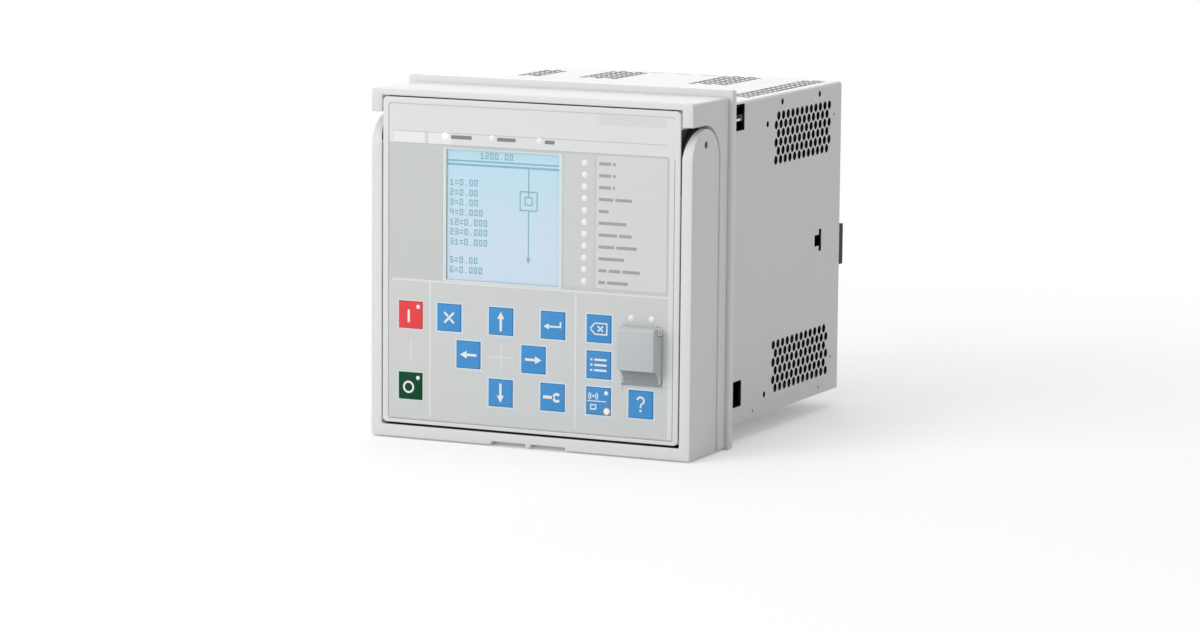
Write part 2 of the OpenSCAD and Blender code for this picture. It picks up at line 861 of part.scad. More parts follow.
module port_opening() {
    translate([cover_x, jack_z]) square([jack_w + 2 * fit, jack_h + 2 * fit], center = true);
}

// Places of the posts that carry the front board
module post_places() {
    for (x = [-board_x + post_inset, board_x - post_inset]) {
        for (z = [board_low + post_inset, (board_low + board_high) / 2 + 3, board_high - post_inset]) {
            translate([x, 0, z]) children();
        }
    }
}

// Front panel moulding, with a raised rim, hinge ears and posts for the board
module front_panel() {
    color(shell_gray) difference() {
        union() {
            slab(front, panel_rear)
                translate([0, panel_mid]) round_rect(2 * body_x, panel_h, panel_r);
            post_places() rod_y(panel_rear - past, board_front, post_d);
        }
        slab(front - past, overlay_rear) overlay_outline(fit);
        slab(front - past, panel_rear + past) {
            key_openings();
            led_openings(led_d + 2 * led_gap);
            display_opening(0);
            port_opening();
        }
        post_places() rod_y(overlay_rear + 1, board_front + past, post_hole_d);
    }
    color(shell_gray) for (x = [cover_left, cover_right - ear_w]) {
        difference() {
            side_slab(x, x + ear_w) {
                translate([hinge_y, hinge_z]) circle(barrel_r);
                translate([hinge_y, hinge_z - barrel_r]) square([overlay_rear - hinge_y, barrel_r]);
            }
            translate([0, hinge_y, hinge_z]) rod_x(x - past, x + ear_w + past, hinge_pin_d + run_gap);
        }
    }
}

// Outline of the overlay, grown by a gap
module overlay_outline(gap) {
    h = overlay_top - overlay_floor;
    translate([0, (overlay_top + overlay_floor) / 2])
        round_rect(2 * (overlay_x + gap), h + 2 * gap, overlay_r);
}

// Printed film over the front panel
module front_overlay() {
    color(overlay_gray) slab(overlay_face, overlay_rear) difference() {
        overlay_outline(0);
        key_openings();
        led_openings(led_d + 2 * led_gap);
        window_opening(fit);
        port_opening();
        for (x = [cover_left, cover_right - ear_w]) {
            translate([x - fit, hinge_z - barrel_r - fit])
                square([ear_w + 2 * fit, 2 * barrel_r + 2 * fit]);
        }
    }
}

// Clear window over the display
module display_window() {
    color([0.72, 0.84, 0.92]) slab(overlay_face, overlay_rear) window_opening(0);
}

// Liquid crystal display: raised glass in the panel's opening, a backlight and a carrier
module display_module() {
    glass_front = overlay_rear + 2 * fit;
    light_front = panel_rear + fit;
    light_rear = light_front + 2.4;
    carrier_inset = 4;
    color([0.70, 0.83, 0.90]) {
        slab(glass_front, light_front + past) display_opening(-fit);
        slab(light_front, light_rear) window_opening(1);
        slab(light_rear - past, board_front) window_opening(-carrier_inset);
    }
}

// Circuit board behind the front panel, notched round the handle's pivots
module front_board() {
    notch_x = boss_x - pivot_head_t - boss_room;
    notch_h = boss_d + 2 * boss_room;
    color([0.10, 0.35, 0.18]) difference() {
        slab(board_front, board_rear_face)
            translate([-board_x, board_low]) square([2 * board_x, board_high - board_low]);
        post_places() rod_y(board_front - past, board_rear_face + past, screw_d + 2 * fit);
        for (side = [0, 1]) mirror([side, 0, 0]) {
            block([notch_x, board_front - past, pivot_z - notch_h / 2],
                  [board_x + past, board_rear_face + past, pivot_z + notch_h / 2]);
        }
    }
}

// Light pipe from the front board to the overlay's face
module light_pipe() {
    rod_y(overlay_face, board_front, led_d);
}

module alarm_leds() {
    color([0.93, 0.94, 0.92]) for (i = [0 : led_count - 1]) {
        translate([led_x, 0, led_top - i * led_pitch]) light_pipe();
    }
}

module indicator_leds() {
    color([0.93, 0.94, 0.92]) {
        for (x = status_xs) {
            translate([x, 0, status_z]) light_pipe();
        }
        for (x = port_led_xs) {
            translate([x, 0, port_led_z]) light_pipe();
        }
    }
}

// Switches under the keys, on the front board
module key_switches() {
    switch_front = key_stem_end + key_travel + switch_gap;
    color([0.2, 0.2, 0.22]) for (place = key_places) {
        translate([place[0], 0, key_rows[place[1]]]) {
            rod_y(switch_front, board_front, switch_d);
            slab(board_front - 2, board_front) square(switch_d + 2, center = true);
        }
    }
}

// Network socket behind the port cover
module front_port() {
    color([0.55, 0.56, 0.57]) translate([cover_x, 0, jack_z]) difference() {
        slab(overlay_face + fit, board_front) square([jack_w, jack_h], center = true);
        socket_cut(overlay_face - past, overlay_face + fit + socket_d);
    }
}

// Two headed pins that the handle turns on
module handle_pivots() {
    pin_out = body_x + handle_gap + arm_t - 2;
    color(steel) for (side = [0, 1]) mirror([side, 0, 0]) translate([0, pivot_y, pivot_z]) {
        rod_x(boss_x, pin_out, pivot_d);
        rod_x(boss_x - pivot_head_t, boss_x, pivot_head_d);
    }
}

// Screws that hold the front board on its posts
module board_screws() {
    color(steel) post_places() translate([0, board_rear_face, 0])
        rotate([-90, 0, 0]) pan_screw(7, post_hole_d - 2 * run_gap);
}

// Sheet chassis of the plug-in unit: a floor and two slotted sides
module chassis() {
    vent_slot = [5, 64];
    vent_slot_pitch = 14;
    vent_slots = 6;
    mid_y = (chassis_front + boards_rear) / 2 + 8;
    mid_z = (chassis_low + chassis_high) / 2;
    color(steel) difference() {
        block([-chassis_x, chassis_front, chassis_low], [chassis_x, boards_rear, chassis_high]);
        block([-chassis_x + chassis_t, chassis_front - past, chassis_low + chassis_t],
              [chassis_x - chassis_t, boards_rear + past, chassis_high + past]);
        side_slab(-chassis_x - past, chassis_x + past)
            for (i = [0 : vent_slots - 1]) {
                translate([mid_y + (i - (vent_slots - 1) / 2) * vent_slot_pitch, mid_z])
                    square(vent_slot, center = true);
            }
        for (side = [0, 1], z = pad_zs) mirror([side, 0, 0]) {
            translate([0, pad_mid, z])
                rod_x(chassis_x - chassis_t - past, chassis_x + past, screw_d + 2 * fit);
        }
    }
}

// Slotted bars that hold the boards by their lower and upper edges
module board_combs() {
    half = chassis_x - chassis_t;
    low = chassis_low + chassis_t;
    color([0.15, 0.16, 0.17]) for (y = comb_ys) {
        difference() {
            union() {
                block([-half, y, low], [half, y + comb_d, low + comb_h]);
                block([-half, y, chassis_high - comb_h], [half, y + comb_d, chassis_high]);
            }
            for (x = [processor_x, supply_x, output_x, measuring_x]) {
                block([x - slot_fit, y - past, low + comb_h - comb_slot],
                      [x + board_t + slot_fit, y + comb_d + past, low + comb_h + past]);
                block([x - slot_fit, y - past, chassis_high - comb_h - past],
                      [x + board_t + slot_fit, y + comb_d + past, chassis_high - comb_h + comb_slot]);
            }
        }
    }
}

// A plug-in circuit board that stands in the combs
module standing_board(x) {
    color([0.10, 0.35, 0.18])
        block([x, boards_front, boards_low], [x + board_t, boards_rear, boards_high]);
}

module processor_board() {
    standing_board(processor_x);
}

module processor_chips() {
    chips = [[30, 20, 26, 26], [70, 20, 18, 24], [70, -22, 18, 24], [30, -24, 20, 14], [100, 0, 8, 40]];
    color(black) for (chip = chips) {
        block([processor_x - chip_t, chip[0] - chip[2] / 2, chip[1] - chip[3] / 2],
              [processor_x, chip[0] + chip[2] / 2, chip[1] + chip[3] / 2]);
    }
}

module supply_board() {
    standing_board(supply_x);
}

// Switching transformer: a core round its winding
module supply_transformer() {
    color([0.25, 0.24, 0.23]) translate([supply_x - core_w, core_y, core_z]) {
        difference() {
            cube([core_w, core_d, core_h]);
            translate([-past, core_leg, core_leg])
                cube([core_w + 2 * past, core_d - 2 * core_leg, core_h - 2 * core_leg]);
        }
        translate([core_w / 2, core_d / 2, core_leg])
            cylinder(d = winding_d, h = core_h - 2 * core_leg);
    }
}

module supply_capacitors() {
    color([0.12, 0.13, 0.2]) for (i = [0 : 2]) {
        translate([0, capacitor_y + i * capacitor_pitch, capacitor_z])
            rod_x(supply_x - capacitor_l, supply_x, capacitor_d);
    }
}

module output_board() {
    standing_board(output_x);
}

// Sealed output relays in rows
module output_relays() {
    color([0.85, 0.62, 0.15]) for (i = [0 : 2], j = [0 : 2]) {
        translate([output_x - relay_w, relay_y + i * relay_pitch_y, relay_z + j * relay_pitch_z])
            cube([relay_w, relay_d, relay_h]);
    }
}

module measuring_board() {
    standing_board(measuring_x);
}

// Current transformers: wound ring cores with a potted middle, on the measuring board
module current_transformers() {
    color([0.55, 0.33, 0.12]) for (i = [0 : 1], j = [-1 : 1]) {
        translate([measuring_x - ring_base_t, ring_y + i * ring_pitch, j * ring_pitch]) {
            translate([-ring_t, 0, 0]) rotate([0, 90, 0]) rotate_extrude() {
                translate([ring_d / 2 - ring_w, 0]) square([ring_w, ring_t]);
                translate([0, pot_sink]) square([ring_d / 2, ring_t - pot_sink]);
            }
            translate([0, -ring_d / 2, -ring_d / 2]) cube([ring_base_t, ring_d, ring_d]);
        }
    }
}

// Plugs on the rear edges of the boards, which meet the terminal blocks
module board_connectors() {
    color([0.2, 0.21, 0.22]) {
        for (x = signal_xs) {
            mid = x + board_t / 2;
            slab(boards_rear, connector_rear)
                translate([mid, 0]) square([signal_plug_w, signal_h() - 4 * block_end], center = true);
        }
        slab(boards_rear, connector_rear)
            translate([measuring_x, 0])
                square([measure_plug_w, measure_h() - 4 * block_end], center = true);
    }
}

// Screws that hold the chassis on the housing's pads
module chassis_screws() {
    color(steel) for (side = [0, 1], z = pad_zs) mirror([side, 0, 0]) {
        translate([chassis_x - chassis_t, pad_mid, z]) rotate([0, -90, 0])
            pan_screw(chassis_t + 2, screw_d - run_gap);
    }
}

// Pin of the port cover's hinge
module hinge_pin() {
    color(steel) translate([0, hinge_y, hinge_z]) rod_x(cover_left, cover_right, hinge_pin_d);
}

// Bail handle: two arms with round ends and a bar with a finger grip
module handle() {
    arm_x = body_x + handle_gap;
    wire_hole_d = 3.2;
    wire_hole_rise = 8.2;
    tab_w = 3;
    grip_rear = pivot_y + 4;
    corner_r = 1.2;
    color(shell_gray) difference() {
        union() {
            for (side = [0, 1]) mirror([side, 0, 0]) side_slab(arm_x, unit_w / 2) {
                translate([pivot_y, pivot_z]) circle(arm_r);
                translate([front, unit_bottom + corner_r])
                    square([2 * arm_r, pivot_z - unit_bottom - corner_r]);
            }
            slab(front, front + 2 * arm_r) intersection() {
                translate([0, unit_bottom + unit_h / 2]) round_rect(unit_w, unit_h, corner_r);
                translate([-unit_w / 2, unit_bottom]) square([unit_w, bar_h]);
            }
        }
        for (side = [0, 1]) mirror([side, 0, 0]) {
            translate([0, pivot_y, pivot_z])
                rod_x(arm_x - past, unit_w / 2 - 1.6, pivot_d + 2 * run_gap);
            translate([0, pivot_y, pivot_z + wire_hole_rise])
                rod_x(arm_x - past, unit_w / 2 + past, wire_hole_d);
            block([tab_w / 2, front - past, unit_bottom - past],
                  [grip_w / 2, grip_rear, unit_bottom + grip_h]);
        }
    }
}

// Side outline of the port cover, as Y and Z, with a finger scoop below its face
module cover_outline() {
    chin = 8;
    lip = 1.4;
    face_low = [cover_face, cover_low + chin];
    base_low = [cover_rear - 1, cover_low];
    chord = base_low - face_low;
    outward = [chord[1], -chord[0]] / norm(chord);
    scoop = (face_low + base_low) / 2 + outward * sqrt(pow(cover_scoop_r, 2) - pow(norm(chord) / 2, 2));
    translate([hinge_y, hinge_z]) circle(barrel_r);
    difference() {
        polygon([
            [cover_face + lip, hinge_z + barrel_r], [cover_face, hinge_z + barrel_r - lip],
            face_low, base_low, [cover_rear, cover_low + 0.5], [cover_rear, hinge_z],
            [hinge_y, hinge_z], [hinge_y, hinge_z + barrel_r]
        ]);
        translate(scoop) circle(cover_scoop_r);
    }
}

// Plan of the port cover, as X and Y, with drafted sides
module cover_plan() {
    half = cover_w / 2;
    polygon([
        [cover_x - half, cover_rear], [cover_x - half + cover_draft, cover_face],
        [cover_x + half - cover_draft, cover_face], [cover_x + half, cover_rear]
    ]);
}

// Front outline of the port cover, with round lower corners
module cover_front() {
    translate([cover_x, cover_low + cover_h / 2]) round_rect(cover_w, cover_h, cover_r);
    translate([cover_left, cover_low + cover_h / 2]) square([cover_w, cover_h / 2]);
}

// Flap that closes the front port
module port_cover() {
    knuckle_cut = barrel_r + ear_gap;
    pocket = [13, 12, 3.5];
    color([0.70, 0.72, 0.73]) difference() {
        intersection() {
            side_slab(cover_left, cover_right) cover_outline();
            slab(cover_face - past, overlay_face) cover_front();
            translate([0, 0, cover_low - past]) linear_extrude(cover_h + 2 * past) cover_plan();
        }
        for (x = [cover_left - past, cover_right - ear_w - ear_gap]) {
            side_slab(x, x + ear_w + ear_gap + past) {
                translate([hinge_y, hinge_z]) circle(knuckle_cut);
                translate([hinge_y, hinge_z - knuckle_cut])
                    square([cover_rear - hinge_y + past, 2 * knuckle_cut]);
            }
        }
        translate([0, hinge_y, hinge_z])
            rod_x(cover_left - past, cover_right + past, hinge_pin_d + 2 * run_gap);
        block([cover_x - pocket[0] / 2, cover_rear - pocket[2], jack_z - pocket[1] / 2],
              [cover_x + pocket[0] / 2, cover_rear + past, jack_z + pocket[1] / 2]);
    }
}

// A push key: a cap in its opening, a skirt behind the panel and a stem over its switch
module push_key(place, tint) {
    skirt_rear = key_skirt_front + key_skirt_t;
    color(tint) translate([key_places[place][0], 0, key_rows[key_places[place][1]]]) {
        slab(key_face, key_skirt_front) round_rect(key_w, key_h, 0.8);
        slab(key_skirt_front, skirt_rear)
            square([key_w + 2 * key_skirt, key_h + 2 * key_skirt], center = true);
        rod_y(skirt_rear, key_stem_end, key_stem_d);
    }
}

module key_close() { push_key(0, [0.85, 0.27, 0.28]); }
module key_open() { push_key(1, [0.02, 0.30, 0.17]); }
module key_escape() { push_key(2, key_blue); }
module key_left() { push_key(3, key_blue); }
module key_up() { push_key(4, key_blue); }
module key_down() { push_key(5, key_blue); }
module key_right() { push_key(6, key_blue); }
module key_enter() { push_key(7, key_blue); }
module key_settings() { push_key(8, key_blue); }
module key_clear() { push_key(9, key_blue); }
module key_menu() { push_key(10, key_blue); }
module key_local() { push_key(11, key_blue); }
module key_help() { push_key(12, key_blue); }

mounting_frame();
case_wrap();
case_floor();
rear_panel();
guide_rails();
frame_screws();
case_screws();
signal_terminals();
measuring_terminals();
terminal_screws();
port_plate();
rear_port();
earth_stud();
earth_nut();
front_housing();
front_gasket();
front_panel();
front_overlay();
display_window();
display_module();
front_board();
alarm_leds();
indicator_leds();
key_switches();
front_port();
handle_pivots();
board_screws();
chassis();
board_combs();
processor_board();
processor_chips();
supply_board();
supply_transformer();
supply_capacitors();
output_board();
output_relays();
measuring_board();
current_transformers();
board_connectors();
chassis_screws();
hinge_pin();
handle();
port_cover();
key_close();
key_open();
key_escape();
key_left();
key_up();
key_down();
key_right();
key_enter();
key_settings();
key_clear();
key_menu();
key_local();
key_help();
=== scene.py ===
# %% [markdown]
# # Dressing a panel relay
# The solids of a withdrawable protection relay are already made and packed. This lesson gives
# them their looks: moulded plastic, coated sheet, a printed front with keys and a display,
# terminals, and the parts on the boards. Blender works in metres. What is drawn on the front is
# written in millimetres, and becomes metres where its mesh is made. Every piece is placed in the
# frame of the solids, so nothing is fitted by eye.

# %% Load the solids
import json
import math

import bmesh
import bpy
from mathutils import Matrix, Vector


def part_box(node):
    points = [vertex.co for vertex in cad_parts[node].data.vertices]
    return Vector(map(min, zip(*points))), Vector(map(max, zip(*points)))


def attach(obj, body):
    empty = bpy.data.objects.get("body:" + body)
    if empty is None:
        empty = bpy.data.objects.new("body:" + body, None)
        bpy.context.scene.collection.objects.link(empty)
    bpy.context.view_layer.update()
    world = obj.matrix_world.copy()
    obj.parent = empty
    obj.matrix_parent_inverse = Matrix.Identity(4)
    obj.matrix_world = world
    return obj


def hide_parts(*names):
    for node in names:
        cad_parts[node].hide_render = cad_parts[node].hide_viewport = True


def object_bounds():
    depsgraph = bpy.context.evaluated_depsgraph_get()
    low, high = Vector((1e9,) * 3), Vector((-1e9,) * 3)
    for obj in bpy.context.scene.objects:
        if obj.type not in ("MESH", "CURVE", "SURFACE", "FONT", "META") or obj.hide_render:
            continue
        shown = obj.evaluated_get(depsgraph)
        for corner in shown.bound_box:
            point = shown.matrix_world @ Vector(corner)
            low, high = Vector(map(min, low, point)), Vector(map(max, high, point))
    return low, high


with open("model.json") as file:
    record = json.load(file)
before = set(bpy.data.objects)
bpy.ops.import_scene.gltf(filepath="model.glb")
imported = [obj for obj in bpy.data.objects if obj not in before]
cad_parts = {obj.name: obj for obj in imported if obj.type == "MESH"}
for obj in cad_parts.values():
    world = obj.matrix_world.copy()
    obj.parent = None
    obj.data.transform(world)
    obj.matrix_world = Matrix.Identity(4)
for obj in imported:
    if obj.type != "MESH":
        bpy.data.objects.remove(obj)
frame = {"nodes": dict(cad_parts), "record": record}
cad_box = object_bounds()
nodes_of_part = frame["nodes"]
body_of_node = {n: b for b, ns in frame["record"]["behaviour"]["bodies"].items() for n in ns}
slot_of_node = {s["node"]: s["material_slot"] for s in frame["record"]["subparts"]}
UNIT, CASE = "plug_in_unit", "case"
MM = 0.001
print("solids loaded:", len(nodes_of_part))
print("box in mm:", [round(v / MM, 1) for corner in cad_box for v in corner])

# %% [markdown]
# ## Reading places from the solids
# A print or a lens has to sit on its carrier. Its place is therefore read from the box of the
# solid that carries it: the face of the film, the middle of each key, the row of light pipes.

# %% Faces and middles that later cells use
film_low, film_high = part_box("front_overlay")
film_face = film_low.y
display_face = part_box("display_module")[0].y
key_names = [n for n in nodes_of_part if n.startswith("key_") and n != "key_switches"]


def middle(node):
    """The middle of a node's box."""
    low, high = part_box(node)
    return (low + high) / 2


key_middle = {n: middle(n) for n in key_names}
key_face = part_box("key_help")[0].y
print("film face at", round(film_face / MM, 2), "mm, keys:", len(key_names))

# %% [markdown]
# ## Building node trees
# Materials and Geometry Nodes are both trees of nodes. A few helpers keep the building short.
# One makes a node and feeds its inputs, with a link where the value is another node's socket
# and with the value itself where it isn't. The others make the steps that come up again and again.


# %% Helpers for node trees
def feed(tree, socket, value):
    """Links an input to another node's output, or sets it to a value."""
    if isinstance(value, bpy.types.NodeSocket):
        tree.links.new(value, socket)
    else:
        socket.default_value = value


def add_node(tree, kind, **wires):
    """A new node. A name with a capital is an input, its underscores spaces, and any other is a setting."""
    node = tree.nodes.new(kind)
    for label, value in wires.items():
        if label[0].islower():
            setattr(node, label, value)
        else:
            feed(tree, node.inputs[label.replace("_", " ")], value)
    return node


def step(tree, kind, **wires):
    """A new node, of which only the first output is needed."""
    return add_node(tree, kind, **wires).outputs[0]


def math_step(tree, operation, first, second=0.0):
    """One Math node on sockets or numbers. Returns its output."""
    node = add_node(tree, "ShaderNodeMath", operation=operation)
    feed(tree, node.inputs[0], first)
    feed(tree, node.inputs[1], second)
    return node.outputs[0]


def mixed(tree, factor, low, high):
    """Two colours or colour sockets, mixed by a factor. A Mix node has them as inputs 6 and 7, output 2."""
    mix = add_node(tree, "ShaderNodeMix", data_type="RGBA", Factor=factor)
    for socket, colour in zip(mix.inputs[6:8], (low, high)):
        feed(tree, socket, colour if isinstance(colour, bpy.types.NodeSocket) else (*colour, 1))
    return mix.outputs[2]


print("helpers for node trees are ready")

# %% [markdown]
# ## Finishes
# A finish is a Principled shader with three kinds of detail. A slow noise shifts the colour a
# little, as on any real moulding. A fine one varies the gloss and drives a bump, for the
# spark-eroded texture of a mould or the orange peel of a coat. Both read Object coordinates, so
# that the pattern has a real scale and stays put on the piece.


# %% Helpers for a shader
def shader_of(material):
    """The Principled shader of a material."""
    return next(n for n in material.node_tree.nodes if n.type == "BSDF_PRINCIPLED")


def set_shader(material, **values):
    """Sets constants on the shader's own sockets."""
    for label, value in values.items():
        shader_of(material).inputs[label.replace("_", " ")].default_value = value


def into_shader(material, label, output):
    """Links an output into an input of the shader."""
    material.node_tree.links.new(output, shader_of(material).inputs[label])


def plain_finish(name, colour, roughness, metallic=0.0):
    """A new material with a plain Principled shader."""
    material = bpy.data.materials.new(name)
    material.use_nodes = True
    set_shader(material, Base_Color=(*colour, 1), Roughness=roughness, Metallic=metallic)
    return material


def place_on_object(material):
    """The Object coordinates of a material's surface."""
    return add_node(material.node_tree, "ShaderNodeTexCoord").outputs["Object"]


def axes_on_object(material):
    """The X, Y and Z of the Object coordinates, by name."""
    return add_node(material.node_tree, "ShaderNodeSeparateXYZ", Vector=place_on_object(material)).outputs


print("helpers for a shader are ready")


# %% Helpers for the detail of a finish
def noise_on_object(material, grain):
    """A noise whose grains are that many metres across. Returns its factor."""
    return step(material.node_tree, "ShaderNodeTexNoise", Vector=place_on_object(material),
                Scale=1 / grain, Detail=3)


def shade_by(material, factor, low, high):
    """Mixes two colours by a factor, into the base colour. Returns the mixed colour."""
    colour = mixed(material.node_tree, factor, low, high)
    into_shader(material, "Base Color", colour)
    return colour


def gloss_by(material, factor, low, high):
    """Spreads the roughness between two values."""
    spread = step(material.node_tree, "ShaderNodeMapRange", Value=factor, To_Min=low, To_Max=high)
    into_shader(material, "Roughness", spread)


def bump_by(material, height, depth):
    """A bump of that depth in metres."""
    into_shader(material, "Normal", step(material.node_tree, "ShaderNodeBump", Height=height, Distance=depth,
                                         Strength=1.0))


def tinted(colour, share):
    """A colour made lighter or darker by a share."""
    return tuple(min(1.0, c * (1 + share)) for c in colour)


SLOW_GRAIN, GLOSS_SPREAD = 35 * MM, 0.06


def textured(name, colour, roughness, grain, depth, drift, metallic=0.0):
    """A finish with a drift of colour, a varied gloss and a fine bump. Grain and depth are in mm."""
    material = plain_finish(name, colour, roughness, metallic)
    shade_by(material, noise_on_object(material, SLOW_GRAIN), tinted(colour, -drift), tinted(colour, drift))
    fine = noise_on_object(material, grain * MM)
    gloss_by(material, fine, roughness - GLOSS_SPREAD, roughness + GLOSS_SPREAD)
    bump_by(material, fine, depth * MM)
    return material


print("helpers for detail are ready")

# %% [markdown]
# ## The finishes of this relay
# The front unit is a pale grey moulding with a fine matt texture. The frame and the case are
# metal with a satin coat, which shows a faint orange peel. The chassis inside is black, so the
# vents read as dark holes. Small parts are zinc-plated steel, black plastic and brass. Each line
# of the table gives name, colour, roughness, grain and bump in millimetres, and drift. Metals
# have a last number, which says how metallic they are.

# %% Mouldings, coats and metals
FINISH_TABLE = {
    "shell_plastic": ("shell plastic", (0.735, 0.742, 0.735), 0.46, 0.4, 0.012, 0.008),
    "frame_paint": ("frame coat", (0.745, 0.752, 0.745), 0.4, 1.1, 0.012, 0.006),
    "case_paint": ("case coat", (0.70, 0.712, 0.705), 0.42, 1.3, 0.016, 0.01),
    "zinc_steel": ("zinc plate", (0.62, 0.63, 0.64), 0.32, 0.6, 0.006, 0.05, 1.0),
    "dark_steel": ("black passivation", (0.022, 0.022, 0.024), 0.42, 0.9, 0.008, 0.2, 0.4),
    "black_plastic": ("black moulding", (0.016, 0.016, 0.018), 0.55, 0.5, 0.01, 0.1),
    # this finish also dresses the black pieces of painted shade round the handle
    "seal_rubber": ("foam seal", (0.022, 0.022, 0.022), 0.85, 0.7, 0.08, 0.2),
    "cover_plastic": ("cover moulding", (0.50, 0.53, 0.54), 0.4, 0.4, 0.012, 0.01),
    "light_pipe": ("milky light pipe", (0.84, 0.85, 0.835), 0.22, 0.8, 0.003, 0.02),
    "port_shield": ("tinned shield", (0.55, 0.56, 0.57), 0.28, 0.7, 0.006, 0.05, 1.0),
    "ferrite": ("ferrite", (0.045, 0.042, 0.04), 0.62, 0.5, 0.02, 0.15),
    "capacitor_sleeve": ("shrink sleeve", (0.02, 0.028, 0.075), 0.24, 2.0, 0.01, 0.1),
    "relay_amber": ("relay cover", (0.62, 0.30, 0.025), 0.3, 0.9, 0.006, 0.04),
    "brass": ("turned brass", (0.66, 0.48, 0.19), 0.26, 0.7, 0.006, 0.06, 1.0),
    "key_blue": ("blue key film", (0.066, 0.29, 0.63), 0.36, 0.4, 0.008, 0.02),
    "key_red": ("red key film", (0.78, 0.066, 0.072), 0.36, 0.4, 0.008, 0.02),
    "key_green": ("green key film", (0.002, 0.060, 0.022), 0.36, 0.4, 0.008, 0.04),
}
DULLED = {"key_blue": 0.12, "key_red": 0.12, "key_green": 0.12, "black_plastic": 0.15,
          "shell_plastic": 0.25, "frame_paint": 0.25, "case_paint": 0.25}
finishes = {slot: textured(*row) for slot, row in FINISH_TABLE.items()}
for slot, level in DULLED.items():
    set_shader(finishes[slot], Specular_IOR_Level=level)
print("finishes so far:", len(finishes), "with less gloss:", len(DULLED))

# %% [markdown]
# ## The case's sheet
# The case is punched and folded from sheet. Its inside and the cut edges of the vents are
# painted near black, which is painted shade: it makes the vents read as black even where the
# camera looks at their walls. The material finds the outside by a distance: how far a
# point lies inside the folded outline, with its round upper corners.

# %% Painted shade on the inside of the case
case_low, case_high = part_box("case_wrap")
BEND, SKIN = 2.0 * MM, 0.12 * MM
# near black for the inside and the vents' cut edges: painted shade
INSIDE_SHADE_BLACK = (0.012, 0.012, 0.013)
tree = finishes["case_paint"].node_tree
axes = axes_on_object(finishes["case_paint"])
past_bend = [math_step(tree, "SUBTRACT", math_step(tree, "ABSOLUTE", axes["X"]), case_high.x - BEND),
             math_step(tree, "SUBTRACT", axes["Z"], case_high.z - BEND)]
squares = []
for past in past_bend:
    outer = math_step(tree, "MAXIMUM", past, 0.0)
    squares.append(math_step(tree, "MULTIPLY", outer, outer))
corner = math_step(tree, "SQRT", math_step(tree, "ADD", *squares))
flat_part = math_step(tree, "MINIMUM", math_step(tree, "MAXIMUM", *past_bend), 0.0)
tests = [math_step(tree, "LESS_THAN", math_step(tree, "ADD", corner, flat_part), BEND - SKIN),
         math_step(tree, "GREATER_THAN", axes["Z"], case_low.z + SKIN),
         math_step(tree, "LESS_THAN", axes["Y"], case_high.y - SKIN)]
inside = math_step(tree, "MULTIPLY", tests[0], math_step(tree, "MULTIPLY", tests[1], tests[2]))


def paint_over(material, mask, colour):
    """Mixes a plain colour over the base colour where the mask is 1."""
    below = shader_of(material).inputs["Base Color"].links[0].from_socket
    shade_by(material, mask, below, colour)


# paints the near black of painted shade over the inside of the case
paint_over(finishes["case_paint"], inside, INSIDE_SHADE_BLACK)
print("coated outside of the case, skin in mm:", SKIN / MM)

# %% [markdown]
# ## The printed film
# The front film is one sheet with fields of slightly different grey. They could be separate
# patches, but a print has no thickness, so the fields are painted in the material: each is a
# rectangle tested on the X and Z of the Object coordinates, and mixed over the last one. The
# lighter field over the keypad is no print but painted light, where more light falls.


# %% Rectangles inside a material
def field_mask(material, left, right, low, high):
    """A factor that is 1 inside a rectangle of the XZ plane, given in millimetres."""
    tree = material.node_tree
    axes = axes_on_object(material)
    mask = 1.0
    for axis, edge, test in (("X", left, "GREATER_THAN"), ("X", right, "LESS_THAN"),
                             ("Z", low, "GREATER_THAN"), ("Z", high, "LESS_THAN")):
        mask = math_step(tree, "MULTIPLY", math_step(tree, test, axes[axis], edge * MM), mask)
    return mask


print("helper for painted fields is ready")

# %% The film's fields, in millimetres on the front
FILM_GREY, FILM_DRIFT, FILM_SLOW = (0.555, 0.575, 0.565), 0.008, 30 * MM
FILM_GRAIN, FILM_BUMP, FILM_GLOSS = 0.35 * MM, 0.006 * MM, (0.33, 0.45)
PALE_GREY = (0.715, 0.725, 0.718)
film_fields = [
    (-77, 77, 58.9, 79, PALE_GREY),                    # top band
    # the keypad field is painted light: lighter where more light falls
    (-77, 77, -84, -9.5, (0.605, 0.622, 0.616)),       # keypad
    (74.4, 77, -84, 58.9, PALE_GREY),                  # border on the right
    (-74.8, -57.0, 59.0, 64.6, (0.80, 0.81, 0.805)),   # window of the slip label
    (-56.0, -42.7, 59.0, 64.6, (0.79, 0.80, 0.795)),   # window of the ready light
    (35.8, 73.4, -6.6, 58, (0.655, 0.668, 0.665)),     # paper label of the alarm lights
    (18.5, 34.6, -6.6, 58, (0.60, 0.615, 0.605)),      # strip of the alarm lights
    (36.8, 72.5, 72.8, 77.4, (0.665, 0.675, 0.67)),    # bare field at the top right
]
film = plain_finish("printed film", FILM_GREY, 0.38)
shade_by(film, noise_on_object(film, FILM_SLOW), tinted(FILM_GREY, -FILM_DRIFT),
         tinted(FILM_GREY, FILM_DRIFT))
for *edges, grey in film_fields:
    paint_over(film, field_mask(film, *edges), grey)
film_grain = noise_on_object(film, FILM_GRAIN)
gloss_by(film, film_grain, *FILM_GLOSS)
bump_by(film, film_grain, FILM_BUMP)
finishes["overlay_film"] = film
print("fields on the film:", len(film_fields))

# %% [markdown]
# ## Display and window
# A liquid crystal display is a lit pale blue sheet behind a clear window. The sheet gets a
# gentle gradient, more cyan at the top, and a little light of its own. The window is nearly
# transparent and only adds gloss: a thick refracting glass would hide the lamps from the sheet.

